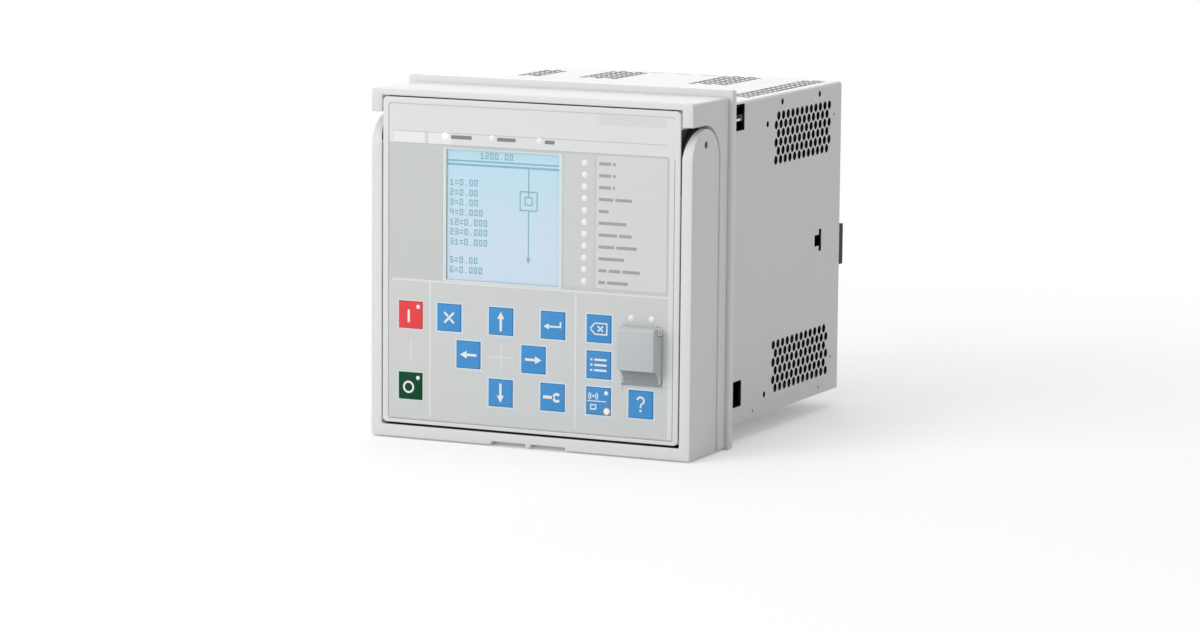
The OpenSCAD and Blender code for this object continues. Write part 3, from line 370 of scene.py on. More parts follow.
# %% Display and window
SCREEN_LOW, SCREEN_HIGH, SCREEN_GLOW = 12 * MM, 58 * MM, 0.10
SCREEN_BLUE, SCREEN_CYAN = (0.55, 0.67, 0.80), (0.43, 0.67, 0.78)
SCREEN_GRAIN, SCREEN_BUMP = 0.6 * MM, 0.002 * MM
WINDOW_ALPHA, WINDOW_GRAIN, WINDOW_GLOSS = 0.07, 12 * MM, (0.1, 0.2)
screen = plain_finish("liquid crystal", (0.52, 0.66, 0.78), 0.32)
rise = step(screen.node_tree, "ShaderNodeMapRange", Value=axes_on_object(screen)["Z"], From_Min=SCREEN_LOW,
            From_Max=SCREEN_HIGH)
into_shader(screen, "Emission Color", shade_by(screen, rise, SCREEN_BLUE, SCREEN_CYAN))
set_shader(screen, Emission_Strength=SCREEN_GLOW)
bump_by(screen, noise_on_object(screen, SCREEN_GRAIN), SCREEN_BUMP)
finishes["display"] = screen

window = plain_finish("clear window", (0.86, 0.92, 0.95), 0.14)
set_shader(window, Alpha=WINDOW_ALPHA)
gloss_by(window, noise_on_object(window, WINDOW_GRAIN), *WINDOW_GLOSS)
finishes["clear_window"] = window
print("display fades over", round((SCREEN_HIGH - SCREEN_LOW) / MM), "mm")

# %% [markdown]
# ## Boards and wire
# A board is green solder mask over copper tracks, which show through as paler lines. A brick
# pattern gives such a grid, turned so that it lies in the plane of the boards. Enamelled wire is
# a metal whose colour changes from turn to turn.

# %% Finishes of boards and wire
TRACK_GRID, TRACK_SHARE, TRACK_RISE = 12 * MM, 0.03, 0.03 * MM
ENAMEL_SLOW, ENAMEL_FINE, ENAMEL_GLOSS = 4 * MM, 1 * MM, (0.22, 0.38)
QUARTER = math.radians(90)
board = plain_finish("solder mask", (0.014, 0.085, 0.03), 0.3)
turned = step(board.node_tree, "ShaderNodeMapping", Vector=place_on_object(board),
              Rotation=(0, QUARTER, QUARTER))
tracks = add_node(board.node_tree, "ShaderNodeTexBrick", Vector=turned, Scale=1 / TRACK_GRID,
                  Mortar_Size=TRACK_SHARE, Color1=(0.013, 0.08, 0.028, 1), Color2=(0.016, 0.095, 0.034, 1),
                  Mortar=(0.03, 0.15, 0.05, 1))
into_shader(board, "Base Color", tracks.outputs["Color"])
bump_by(board, tracks.outputs["Fac"], TRACK_RISE)
finishes["board_green"] = board

winding = plain_finish("enamelled wire", (0.50, 0.20, 0.06), 0.3, 0.85)
shade_by(winding, noise_on_object(winding, ENAMEL_SLOW), (0.44, 0.16, 0.045), (0.56, 0.24, 0.08))
gloss_by(winding, noise_on_object(winding, ENAMEL_FINE), *ENAMEL_GLOSS)
finishes["copper_winding"] = winding
print("finishes:", sorted(finishes))

# %% [markdown]
# ## Painted shade in the scoop of the port cover
# The scoop at the cover's lower edge faces downwards, and a darker grey than the face is painted
# on it: painted shade. It could be a piece of its own, but the scoop is one moulding with the
# cover, so the shade is one more painted rectangle, kept to the outside of the cover by a test on Y.

# %% Painted shade in the scoop of the port cover
# the darker grey is painted shade on the scoop, which faces downwards
SCOOP_SHADE_RISE, SCOOP_SHADE_DROP, SCOOP_SHADE_INSET, SCOOP_SHADE_GREY = 7.6, 1, 1.2, (0.27, 0.295, 0.305)
COVER_WALL = 0.6 * MM
cover_low, cover_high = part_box("port_cover")
cover_finish = finishes["cover_plastic"]
scoop_shade_mask = field_mask(cover_finish, cover_low.x / MM + SCOOP_SHADE_INSET, cover_high.x / MM - SCOOP_SHADE_INSET,
                  cover_low.z / MM - SCOOP_SHADE_DROP, cover_low.z / MM + SCOOP_SHADE_RISE)
outside = math_step(cover_finish.node_tree, "LESS_THAN", axes_on_object(cover_finish)["Y"],
                    cover_high.y - COVER_WALL)
# paints the painted shade over the scoop
paint_over(cover_finish, math_step(cover_finish.node_tree, "MULTIPLY", scoop_shade_mask, outside), SCOOP_SHADE_GREY)
print("grip on the cover, mm high:", SCOOP_SHADE_RISE)

# %% Put each finish on its solids
for node, solid in nodes_of_part.items():
    solid.data.materials.clear()
    solid.data.materials.append(finishes[slot_of_node[node]])
print("solids with a finish:", len(nodes_of_part))

# %% [markdown]
# ## Soft edges
# A moulding or a coated casting has small radii on its edges, and they catch the light. The
# solids have sharp edges, so the pieces that show get a copy: its doubles are merged, its flat
# faces joined, and a Bevel modifier rounds every edge sharper than a limit. The copy then
# stands for the solid. A bevel only takes material away at outer edges, so the sizes stay.


# %% Helpers that make pieces
def link(thing):
    """Puts a new object into the scene."""
    bpy.context.scene.collection.objects.link(thing)
    return thing


def settle(piece):
    """Makes what a piece's modifiers give its plain mesh, and takes the modifiers off."""
    graph = bpy.context.evaluated_depsgraph_get()
    made = bpy.data.meshes.new_from_object(piece.evaluated_get(graph))
    piece.modifiers.clear()
    piece.data = made
    return made


def carry(piece, body):
    """Lets a piece ride on a body."""
    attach(piece, body)
    return piece


print("helpers for pieces are ready")

# %% Helper that softens a solid's edges
SHARP_ANGLE, BEVEL_ANGLE, FLAT_ANGLE = math.radians(32), math.radians(40), math.radians(0.5)
MERGE_GAP, BEVEL_ROUNDS = 0.002 * MM, 3


def soften(node, radius):
    """A copy of a solid with rounded edges, which stands for it."""
    mesh = nodes_of_part[node].data.copy()
    shape = bmesh.new()
    shape.from_mesh(mesh)
    bmesh.ops.remove_doubles(shape, verts=shape.verts, dist=MERGE_GAP)
    bmesh.ops.dissolve_limit(shape, angle_limit=FLAT_ANGLE, verts=shape.verts, edges=shape.edges)
    shape.to_mesh(mesh)
    shape.free()
    piece = link(bpy.data.objects.new(node + "_soft", mesh))
    bevel = piece.modifiers.new("edges", "BEVEL")
    bevel.width = radius * MM
    bevel.segments = BEVEL_ROUNDS
    bevel.limit_method = "ANGLE"
    bevel.angle_limit = BEVEL_ANGLE
    bevel.use_clamp_overlap = False
    softened = settle(piece)
    softened.shade_smooth()
    softened.set_sharp_from_angle(angle=SHARP_ANGLE)
    carry(piece, body_of_node[node])
    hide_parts(node)
    print("softened", node, "faces:", len(softened.polygons))


# %% Soften what shows, by radii in millimetres
edge_radius = {
    "mounting_frame": 0.5, "front_housing": 0.5, "front_panel": 0.3, "handle": 0.7, "port_cover": 0.3,
    "port_plate": 0.3, "rear_port": 0.3, "earth_nut": 0.3, "output_relays": 0.8,
}
edge_radius.update({node: 0.16 for node in key_names})
for node, radius in edge_radius.items():
    soften(node, radius)
print("softened:", len(edge_radius))

# %% [markdown]
# ## Flat marks
# Lines, borders and symbols are thin prints. Each is a list of outlines on the front, pushed
# out by a few hundredths of a millimetre, so that it lies on its carrier from every side. The
# inks are finishes too, in a table like the first one.

# %% Finishes of the prints
INK_TABLE = {
    "white": ("white print", (0.80, 0.815, 0.81), 0.4, 0.5, 0.003, 0.01),
    "line": ("pale line print", (0.715, 0.725, 0.715), 0.4, 0.5, 0.003, 0.01),
    "hairline": ("grey hairline print", (0.40, 0.41, 0.405), 0.4, 0.5, 0.003, 0.02),
    "text": ("dark grey print", (0.20, 0.205, 0.21), 0.4, 0.5, 0.003, 0.03),
    "soft_text": ("grey print", (0.34, 0.345, 0.35), 0.4, 0.5, 0.003, 0.03),
    "crystal": ("dark crystal", (0.15, 0.41, 0.50), 0.3, 0.5, 0.002, 0.04),
    # a pale cyan that stands for the display's backlit edge: painted light
    "painted_backlit_edge": ("painted backlight print", (0.66, 0.74, 0.77), 0.35, 0.5, 0.003, 0.01),
    # the black ink is painted shade: on the plates and discs round the handle and in the drives of the screws
    "black": ("painted shade black", (0.012, 0.012, 0.013), 0.5, 0.5, 0.003, 0.1),
    "blue_border": ("pale blue print", (0.60, 0.76, 0.87), 0.4, 0.5, 0.003, 0.01),
    "red_border": ("pale pink print", (0.80, 0.64, 0.62), 0.4, 0.5, 0.003, 0.01),
    "green_border": ("pale green print", (0.58, 0.74, 0.65), 0.4, 0.5, 0.003, 0.01),
}
prints = {ink: textured(*row) for ink, row in INK_TABLE.items()}
PRINT = 0.03 * MM
print("prints:", sorted(prints))


# %% Helpers that push an outline out to a piece
def anticlockwise(outline):
    """An outline, turned round if it runs clockwise."""
    area = sum(a[0] * b[1] - b[0] * a[1] for a, b in zip(outline, outline[1:] + outline[:1]))
    return outline if area > 0 else outline[::-1]


def add_prism(shape, front_points, back_points):
    """Adds a solid between two loops. Seen from its front, the front loop runs anticlockwise."""
    front = [shape.verts.new(p) for p in front_points]
    back = [shape.verts.new(p) for p in back_points]
    shape.faces.new(front)
    shape.faces.new(back[::-1])
    for i in range(len(front)):
        j = (i + 1) % len(front)
        shape.faces.new((front[i], back[i], back[j], front[j]))


def shape_piece(name, shape, finish, body):
    """A shape as a piece with a finish, which rides on a body."""
    shape.normal_update()
    bmesh.ops.triangulate(shape, faces=[f for f in shape.faces if len(f.verts) > 4])
    mesh = bpy.data.meshes.new(name)
    shape.to_mesh(mesh)
    shape.free()
    mesh.materials.append(finish)
    return carry(link(bpy.data.objects.new(name, mesh)), body)


def flat_piece(name, outlines, face, finish, body, proud=PRINT):
    """Outlines of the XZ plane, in millimetres, as one thin piece on a face that looks to -Y."""
    shape = bmesh.new()
    for outline in outlines:
        loop = anticlockwise(outline)
        add_prism(shape, *([(x * MM, y, z * MM) for x, z in loop] for y in (face - proud, face)))
    print("printed:", name, "outlines:", len(outlines))
    return shape_piece(name, shape, finish, body)


print("prints stand proud by", round(PRINT / MM, 2), "mm")


# %% Shapes to draw with, in millimetres
def bar(left, low, right, high):
    """A rectangle."""
    return [(left, low), (right, low), (right, high), (left, high)]


def level_bar(z, left, right, half):
    """A rectangle along a level line."""
    return bar(left, z - half, right, z + half)


def upright_bar(x, low, high, half):
    """A rectangle along an upright line."""
    return bar(x - half, low, x + half, high)


def stroke(start, end, width):
    """A straight stroke with square ends."""
    a, b = Vector(start), Vector(end)
    side = (b - a).normalized().orthogonal() * width / 2
    return [tuple(a + side), tuple(a - side), tuple(b - side), tuple(b + side)]


def arc_points(centre, radius, angles):
    """Points on a circle, at angles in radians."""
    return [(centre[0] + radius * math.cos(a), centre[1] + radius * math.sin(a)) for a in angles]


def arc_band(centre, radius, width, start, end, steps=20):
    """A band along an arc, from one angle to another, in degrees."""
    angles = [math.radians(start + (end - start) * i / steps) for i in range(steps + 1)]
    outer = arc_points(centre, radius + width / 2, angles)
    inner = arc_points(centre, radius - width / 2, angles)
    return outer + inner[::-1]


def disc(centre, radius, steps=24):
    """A round patch."""
    return arc_points(centre, radius, [2 * math.pi * i / steps for i in range(steps)])


def moved(outlines, dx, dz):
    """Outlines shifted in the plane."""
    return [[(x + dx, z + dz) for x, z in outline] for outline in outlines]


print("a disc of radius 1 has", len(disc((0, 0), 1)), "points")

# %% [markdown]
# ## Lines on the film
# Pale lines part the front into its areas: one below the display and two between the groups of
# keys. A short line stands between the two command keys, and a cross between the arrow keys. Grey
# hairlines edge the strip of the status lights and the label on the right. A dark line of painted
# shade runs along the right and the lower side of the rim, where its step is in shade, and the
# display's window has a pale border of painted light, for the display's backlit edge. They could
# be painted in the material, as the fields are, but lines this thin stay sharper as outlines.

# %% Divider lines
film_left, film_right, film_floor = film_low.x / MM, film_high.x / MM, film_low.z / MM
DIVIDER_Z, DIVIDER_XS = -9.0, (-54.1, 25.25)
WIDE_HALF, COLUMN_HALF, THIN_HALF = 0.55, 0.5, 0.35
GAP_LEFT, GAP_RIGHT, GAP_FLOOR = 2, 1.2, 1.6
CROSS_REACH, COMMAND_REACH = 7, 5.5
CLEAR = 0.01
cross_x, command_x = key_middle["key_up"].x / MM, key_middle["key_close"].x / MM
cross_z = key_middle["key_left"].z / MM
column_top = DIVIDER_Z - WIDE_HALF - CLEAR
dividers = [level_bar(DIVIDER_Z, film_left + GAP_LEFT, film_right - GAP_RIGHT, WIDE_HALF)]
dividers += [upright_bar(x, film_floor + GAP_FLOOR, column_top, COLUMN_HALF) for x in DIVIDER_XS]
dividers += [
    upright_bar(command_x, cross_z - COMMAND_REACH, cross_z + COMMAND_REACH, THIN_HALF),
    level_bar(cross_z, cross_x - CROSS_REACH, cross_x + CROSS_REACH, THIN_HALF),
    upright_bar(cross_x, cross_z + THIN_HALF + CLEAR, cross_z + CROSS_REACH, THIN_HALF),
    upright_bar(cross_x, cross_z - CROSS_REACH, cross_z - THIN_HALF - CLEAR, THIN_HALF),
]
flat_piece("front_dividers", dividers, film_face, prints["line"], UNIT)

# %% Hairlines of the status strip and of the label
STRIP_FOOT, STRIP_LOW, STRIP_HIGH, HAIR = 58.8, 59.2, 64.6, 0.22
STRIP_XS, STRIP_GAP = (-56.9, -56.0), 2.2
LABEL_RIGHT, LABEL_LOW, LABEL_HIGH = 73.4, -6.6, 58
hairlines = [bar(film_left + STRIP_GAP, z, LABEL_RIGHT, z + HAIR) for z in (STRIP_FOOT, STRIP_HIGH)]
hairlines += [bar(x, STRIP_LOW, x + HAIR, STRIP_HIGH - 2 * CLEAR) for x in STRIP_XS]
hairlines += [bar(LABEL_RIGHT, LABEL_LOW, LABEL_RIGHT + HAIR, LABEL_HIGH)]
flat_piece("front_hairlines", hairlines, film_face, prints["hairline"], UNIT)

# %% Painted shade under the rim's step, along its right and lower side
handle_low, handle_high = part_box("handle")
panel_low, panel_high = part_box("front_panel")
rim_face = handle_low.y
STEP_SHADE_X, STEP_SHADE_TOP, STEP_SHADE_RISE, STEP_SHADE, STEP_SHADE_PROUD = 77.15, 58, 1.9, 0.28, 0.02 * MM
step_shade_z = panel_low.z / MM + STEP_SHADE_RISE
step_shade_bars = [bar(STEP_SHADE_X, step_shade_z, STEP_SHADE_X + STEP_SHADE, STEP_SHADE_TOP),
         bar(-STEP_SHADE_X, step_shade_z, STEP_SHADE_X - CLEAR, step_shade_z + STEP_SHADE)]
flat_piece("rim_step_shade", step_shade_bars, rim_face, prints["text"], UNIT, STEP_SHADE_PROUD)

# %% Painted light: a pale border round the display's window, for its backlit edge
BACKLIT_EDGE_X, BACKLIT_EDGE_Z = 1.9, 0.9
window_low, window_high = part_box("display_window")
left, right = window_low.x / MM, window_high.x / MM
low, high = window_low.z / MM, window_high.z / MM
painted_backlit_edge = [bar(left, low, left + BACKLIT_EDGE_X, high), bar(right - BACKLIT_EDGE_X, low, right, high),
                 bar(left + BACKLIT_EDGE_X, low, right - BACKLIT_EDGE_X, low + BACKLIT_EDGE_Z),
                 bar(left + BACKLIT_EDGE_X, high - BACKLIT_EDGE_Z, right - BACKLIT_EDGE_X, high)]
flat_piece("display_painted_backlight", painted_backlit_edge, window_low.y, prints["painted_backlit_edge"], UNIT)

# %% [markdown]
# ## Borders round the keys, with Geometry Nodes
# Thirteen keys have the same printed border. One node tree makes it: a square curve and a
# larger one with round corners are filled to a flat ring, which gets a little thickness and
# is placed on a bare point at each key. The sizes are named inputs of the tree.


# %% Helpers that open and close a tree
def open_tree(name, **inputs):
    """A tree that takes geometry and named inputs. Returns the tree and what it is given."""
    tree = bpy.data.node_groups.new(name, "GeometryNodeTree")
    tree.interface.new_socket("Geometry", in_out="INPUT", socket_type="NodeSocketGeometry")
    for label, kind in inputs.items():
        tree.interface.new_socket(label.replace("_", " "), in_out="INPUT", socket_type="NodeSocket" + kind)
    tree.interface.new_socket("Geometry", in_out="OUTPUT", socket_type="NodeSocketGeometry")
    return tree, tree.nodes.new("NodeGroupInput").outputs


def joined(tree, *parts):
    """Several geometries as one."""
    join = tree.nodes.new("GeometryNodeJoinGeometry")
    for part in parts:
        tree.links.new(part, join.inputs[0])
    return join.outputs[0]


def close_tree(tree, given, points, instance, **wires):
    """Ends a tree: an instance on each point, Realize Instances and Set Material."""
    placed = step(tree, "GeometryNodeInstanceOnPoints", Points=points, Instance=instance, **wires)
    real = step(tree, "GeometryNodeRealizeInstances", Geometry=placed)
    painted = step(tree, "GeometryNodeSetMaterial", Geometry=real, Material=given["Material"])
    tree.links.new(painted, tree.nodes.new("NodeGroupOutput").inputs[0])
    print("tree:", tree.name, "nodes:", len(tree.nodes))


print("helpers for trees that make geometry are ready")


# %% Helper that runs a tree
def grow(name, tree, points, body, slot, sizes=None, **settings):
    """Runs a tree on bare points and keeps the result as a plain mesh."""
    base = bpy.data.meshes.new(name)
    base.from_pydata([tuple(p) for p in points], [], [])
    if sizes:
        attribute = base.attributes.new("size", "FLOAT_VECTOR", "POINT")
        attribute.data.foreach_set("vector", [v for size in sizes for v in size])
    piece = link(bpy.data.objects.new(name, base))
    modifier = piece.modifiers.new("grow", "NODES")
    modifier.node_group = tree
    sockets = {i.name: i.identifier for i in tree.interface.items_tree if i.in_out == "INPUT"}
    for label, value in settings.items():
        modifier[sockets[label.replace("_", " ")]] = value
    made = settle(piece)
    print("grown:", name, "faces:", len(made.polygons))
    return carry(piece, body)


print("helper that runs a tree is ready")

# %% The tree of a key border
border_tree, given = open_tree("key border", Width="Float", Height="Float", Line="Float", Corner="Float",
                               Thickness="Float", Material="Material")
RECTANGLE = "GeometryNodeCurvePrimitiveQuadrilateral"
WELD = 0.001 * MM
both_lines_wide = math_step(border_tree, "MULTIPLY", given["Line"], 2)
outer_sides = [math_step(border_tree, "ADD", given[side], both_lines_wide) for side in ("Width", "Height")]
inner_line = step(border_tree, RECTANGLE, Width=given["Width"], Height=given["Height"])
outer_line = step(border_tree, RECTANGLE, Width=outer_sides[0], Height=outer_sides[1])
rounded = step(border_tree, "GeometryNodeFilletCurve", Curve=outer_line, Radius=given["Corner"])
ring = step(border_tree, "GeometryNodeFillCurve", Curve=joined(border_tree, rounded, inner_line))
front_and_sides = step(border_tree, "GeometryNodeExtrudeMesh", Mesh=ring, Offset_Scale=given["Thickness"],
                       Individual=False)
back_face = step(border_tree, "GeometryNodeFlipFaces", Mesh=ring)
closed = step(border_tree, "GeometryNodeMergeByDistance", Distance=WELD,
              Geometry=joined(border_tree, front_and_sides, back_face))
upright = step(border_tree, "GeometryNodeTransform", Geometry=closed, Rotation=(QUARTER, 0, 0))
close_tree(border_tree, given, given["Geometry"], upright)

# %% Borders of the keys, in three colours
KEY_WIDTH, KEY_HEIGHT, KEY_GAP = 12.7, 13.1, 0.5
BORDER_LINE, BORDER_CORNER = 0.75, 0.4
border_of_key = {n: "blue_border" for n in key_names}
border_of_key.update(key_close="red_border", key_open="green_border")
for ink in ("blue_border", "red_border", "green_border"):
    spots = [(key_middle[n].x, film_face, key_middle[n].z) for n in key_names if border_of_key[n] == ink]
    grow("key_" + ink, border_tree, spots, UNIT, "overlay_film", Width=(KEY_WIDTH + KEY_GAP) * MM,
         Height=(KEY_HEIGHT + KEY_GAP) * MM, Line=BORDER_LINE * MM, Corner=BORDER_CORNER * MM,
         Thickness=PRINT, Material=prints[ink])

# %% [markdown]
# ## Symbols on the keys
# Each key carries a white symbol that anyone can read: a bar and a ring for on and off, arrows,
# a return arrow, a spanner, a list, a question mark. They are drawn from strokes and arcs round
# the middle of the key and ride on it, so they go down with the key when it is pressed.


# %% Helpers for arrows and rings
def arrow(length, turn_degrees):
    """A straight arrow that points along +X, then turned."""
    half, head, wide, shaft = length / 2, 3.6, 1.9, 0.62
    points = [(-half, -shaft), (half - head, -shaft), (half - head, -wide), (half, 0),
              (half - head, wide), (half - head, shaft), (-half, shaft)]
    c, s = math.cos(math.radians(turn_degrees)), math.sin(math.radians(turn_degrees))
    return [[(x * c - z * s, x * s + z * c) for x, z in points]]


def ring_marks(centre, radius, width, half_angle):
    """Two bands of a ring, to the right and to the left of its middle."""
    return [arc_band(centre, radius, width, a - half_angle, a + half_angle) for a in (0, 180)]


def whole_ring(radius, width):
    """A closed ring, as an upper and a lower half."""
    return [arc_band((0, 0), radius, width, 0, 180), arc_band((0, 0), radius, width, 180, 360)]


print("an arrow has", len(arrow(9.0, 0)[0]), "points")

# %% Shapes of the other symbols, round (0, 0), in millimetres
return_arrow = [
    [(-5, -0.6), (-2.2, -2.1), (-2.2, -1.05), (4.6, -1.05), (4.6, 1.9), (3.7, 1.9), (3.7, -0.15),
     (-2.2, -0.15), (-2.2, 0.9)],
]
spanner = [bar(-5, -0.75, 0.6, 0.75), arc_band((2.4, 0), 1.75, 1.3, 42, 318)]
cross_mark = [stroke((-2.6, -2.6), (2.6, 2.6), 1.1), stroke((-2.6, 2.6), (-0.56, 0.56), 1.1),
              stroke((0.56, -0.56), (2.6, -2.6), 1.1)]
erase_mark = [
    stroke((-4.6, 0), (-2.1, 2.7), 0.7), stroke((-4.6, 0), (-2.1, -2.7), 0.7),
    bar(-2.2, 2.38, 4.6, 3.05), bar(-2.2, -3.05, 4.6, -2.38), bar(3.95, -2.37, 4.6, 2.37),
    stroke((-0.6, -1.3), (2.2, 1.3), 0.75), stroke((-0.6, 1.3), (0.42, 0.35), 0.75),
    stroke((1.18, -0.35), (2.2, -1.3), 0.75),
]
list_mark = [level_bar(z, *ends, 0.5) for ends in ((-2.3, 4.3), (-4.4, -3.3)) for z in (2.6, 0, -2.6)]
question_mark = [
    arc_band((0, 1.9), 1.75, 0.95, 170, -62), stroke((0.62, 0.5), (0, -0.75), 0.95),
    bar(-0.48, -1.6, 0.48, -0.76), bar(-0.55, -3.6, 0.55, -2.5),
]
SENDER = (-2.7, 2.4)
place_marks = [bar(-5.9, -0.22, 4.2, 0.22), disc(SENDER, 0.55)]
place_marks += ring_marks(SENDER, 1.45, 0.5, 50) + ring_marks(SENDER, 2.4, 0.5, 45)
place_marks += [bar(-4.4, -4.3, -1.0, -3.6), bar(-4.4, -2.2, -1.0, -1.6), bar(-4.4, -3.59, -3.8, -2.21),
                bar(-1.6, -3.59, -1.0, -2.21)]
on_mark = [bar(-0.6, -3.1, 0.6, 3.1)]
off_mark = whole_ring(2.6, 1.0)
print("a return arrow has", len(return_arrow[0]), "points")

# %% Symbols on their keys
symbols = {
    "key_close": moved(on_mark, -1, -0.6), "key_open": moved(off_mark, -1, -0.6), "key_escape": cross_mark,
    "key_left": arrow(9.0, 180), "key_right": arrow(9.0, 0), "key_up": arrow(9.6, 90),
    "key_down": arrow(9.6, -90), "key_enter": return_arrow, "key_settings": spanner,
    "key_clear": erase_mark, "key_menu": list_mark, "key_local": place_marks, "key_help": question_mark,
}
for node, outlines in symbols.items():
    spot = key_middle[node]
    flat_piece(node + "_symbol", moved(outlines, spot.x / MM, spot.z / MM), key_face, prints["white"],
               node)
print("symbols on keys:", len(symbols))

# %% [markdown]
# ## Lamps
# A light pipe ends in a low milky lens. The alarm lights are off, the ready light is lit, and
# so is the lower lamp of the local key, which glows in a warm white. One tree places the
# lenses: a flattened sphere on each point, so that only a shallow dome stands above the film.

# %% Finishes of the lamps
LIT_ROUGHNESS, LIT_GRAIN = 0.3, 0.8 * MM


def lit_finish(name, colour, glow, strength, low, high):
    """A lamp that is lit, with a colour of its own and a glow."""
    material = plain_finish(name, colour, LIT_ROUGHNESS)
    set_shader(material, Emission_Color=(*glow, 1), Emission_Strength=strength)
    shade_by(material, noise_on_object(material, LIT_GRAIN), low, high)
    return material


lens_finish = textured("milky lens", (0.84, 0.855, 0.845), 0.25, 0.6, 0.002, 0.01)
lit_white = lit_finish("lit lamp", (0.95, 0.95, 0.9), (1.0, 0.97, 0.78), 0.35,
                       (0.90, 0.90, 0.78), (0.94, 0.94, 0.84))
lit_warm = lit_finish("warm lit lamp", (1.0, 0.85, 0.74), (1.0, 0.50, 0.30), 0.55,
                      (0.90, 0.58, 0.42), (0.94, 0.66, 0.50))
print("lamps:", [m.name for m in (lens_finish, lit_white, lit_warm)])

# %% The tree of the lenses
lens_tree, given = open_tree("lenses", Radius="Float", Dome="Float", Material="Material")
ball = step(lens_tree, "GeometryNodeMeshUVSphere", Segments=24, Rings=12, Radius=given["Radius"])
flatness = step(lens_tree, "ShaderNodeCombineXYZ", X=1.0, Y=given["Dome"], Z=1.0)
dome = step(lens_tree, "GeometryNodeTransform", Geometry=ball, Scale=flatness)
smooth = step(lens_tree, "GeometryNodeSetShadeSmooth", Geometry=dome)
close_tree(lens_tree, given, given["Geometry"], smooth)

# %% Lenses on the film
ALARMS, STATUS_PITCH, LENS_SHARE, LENS_DOME = 11, 25.6 * MM, 1.2, 0.17
PORT_LAMP_LEFT, PORT_LAMP_RIGHT = 6.1 * MM, 4.7 * MM
alarm_low, alarm_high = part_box("alarm_leds")
pipe_radius = (alarm_high.x - alarm_low.x) / 2
alarm_x = (alarm_low.x + alarm_high.x) / 2
alarm_pitch = (alarm_high.z - alarm_low.z - 2 * pipe_radius) / (ALARMS - 1)
alarm_zs = [alarm_high.z - pipe_radius - i * alarm_pitch for i in range(ALARMS)]
indicator_low, indicator_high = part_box("indicator_leds")
status_x, status_z = indicator_low.x + pipe_radius, indicator_high.z - pipe_radius
port_lamp_z = indicator_low.z + pipe_radius
cover_x = middle("port_cover").x
port_lamp_xs = (cover_x - PORT_LAMP_LEFT, cover_x + PORT_LAMP_RIGHT)
unlit_lamps = [(status_x + i * STATUS_PITCH, film_face, status_z) for i in (1, 2)]
unlit_lamps += [(x, film_face, port_lamp_z) for x in port_lamp_xs]
for name, spots, finish in (("alarm_lenses", [(alarm_x, film_face, z) for z in alarm_zs], lens_finish),
                            ("indicator_lenses", unlit_lamps, lens_finish),
                            ("ready_lens", [(status_x, film_face, status_z)], lit_white)):
    grow(name, lens_tree, spots, UNIT, "light_pipe", Radius=LENS_SHARE * pipe_radius, Dome=LENS_DOME,
         Material=finish)

# %% Lines between the alarm lights
TICK_LEFT, TICK_RIGHT, ALARM_TICK_HALF = 19.0, 27.6, 0.08
tick_lines = [level_bar((z + alarm_pitch / 2) / MM, TICK_LEFT, TICK_RIGHT, ALARM_TICK_HALF) for z in alarm_zs]
flat_piece("alarm_ticks", tick_lines, film_face, prints["line"], UNIT)

# %% Lamps on the keys
LAMP_SHIFT, LAMP_R, LAMP_DOME = 4.2, 1.05, 0.2
LIT_X, LIT_Z, LIT_R, LIT_GLOW_R = 4.5, -4.7, 1.25, 1.75


def key_lamp(name, node, dx, dz, radius, finish):
    """A small lamp on a key, moved from its middle by millimetres."""
    spot = key_middle[node] + Vector((dx, 0, dz)) * MM
    grow(name, lens_tree, [(spot.x, key_face, spot.z)], node, "light_pipe", Radius=radius * MM,
         Dome=LAMP_DOME, Material=finish)


for node in ("key_close", "key_open", "key_local"):
    key_lamp(node + "_lamp", node, LAMP_SHIFT, LAMP_SHIFT, LAMP_R, lens_finish)
key_lamp("key_local_lit_lamp", "key_local", LIT_X, LIT_Z, LIT_R, lit_warm)
# a pale pink ring round the lit lamp: painted glow of its light
spot = key_middle["key_local"]
flat_piece("key_local_lamp_painted_glow", [disc((spot.x / MM + LIT_X, spot.z / MM + LIT_Z), LIT_GLOW_R)], key_face,
           prints["red_border"], "key_local")

# %% [markdown]
# ## Bars beside the lamps
# The alarm lights and the status lights have labels, drawn as plain bars of several lengths. One
# tree sets a small box on each point and takes the box's size from an attribute of the point, so
# a whole column of labels is one list of places and sizes.

# %% The tree of the printed bars
bar_tree, given = open_tree("printed bars", Scale="Float", Material="Material")
size = add_node(bar_tree, "GeometryNodeInputNamedAttribute", data_type="FLOAT_VECTOR", Name="size")
size_of_point = next(o for o in size.outputs if o.enabled and o.name == "Attribute")
in_metres = add_node(bar_tree, "ShaderNodeVectorMath", operation="SCALE", Scale=given["Scale"])
feed(bar_tree, in_metres.inputs[0], size_of_point)
unit_box = step(bar_tree, "GeometryNodeMeshCube", Size=(1, 1, 1))
close_tree(bar_tree, given, given["Geometry"], unit_box, Scale=in_metres.outputs[0])


def print_bars(name, bars, face, finish, body, slot):
    """Bars given as left, low, right and high in millimetres, printed on a face that looks to -Y."""
    points = [((a + c) / 2 * MM, face - PRINT / 2, (b + d) / 2 * MM) for a, b, c, d in bars]
    sizes = [(c - a, PRINT / MM, d - b) for a, b, c, d in bars]
    return grow(name, bar_tree, points, body, slot, sizes, Scale=MM, Material=finish)


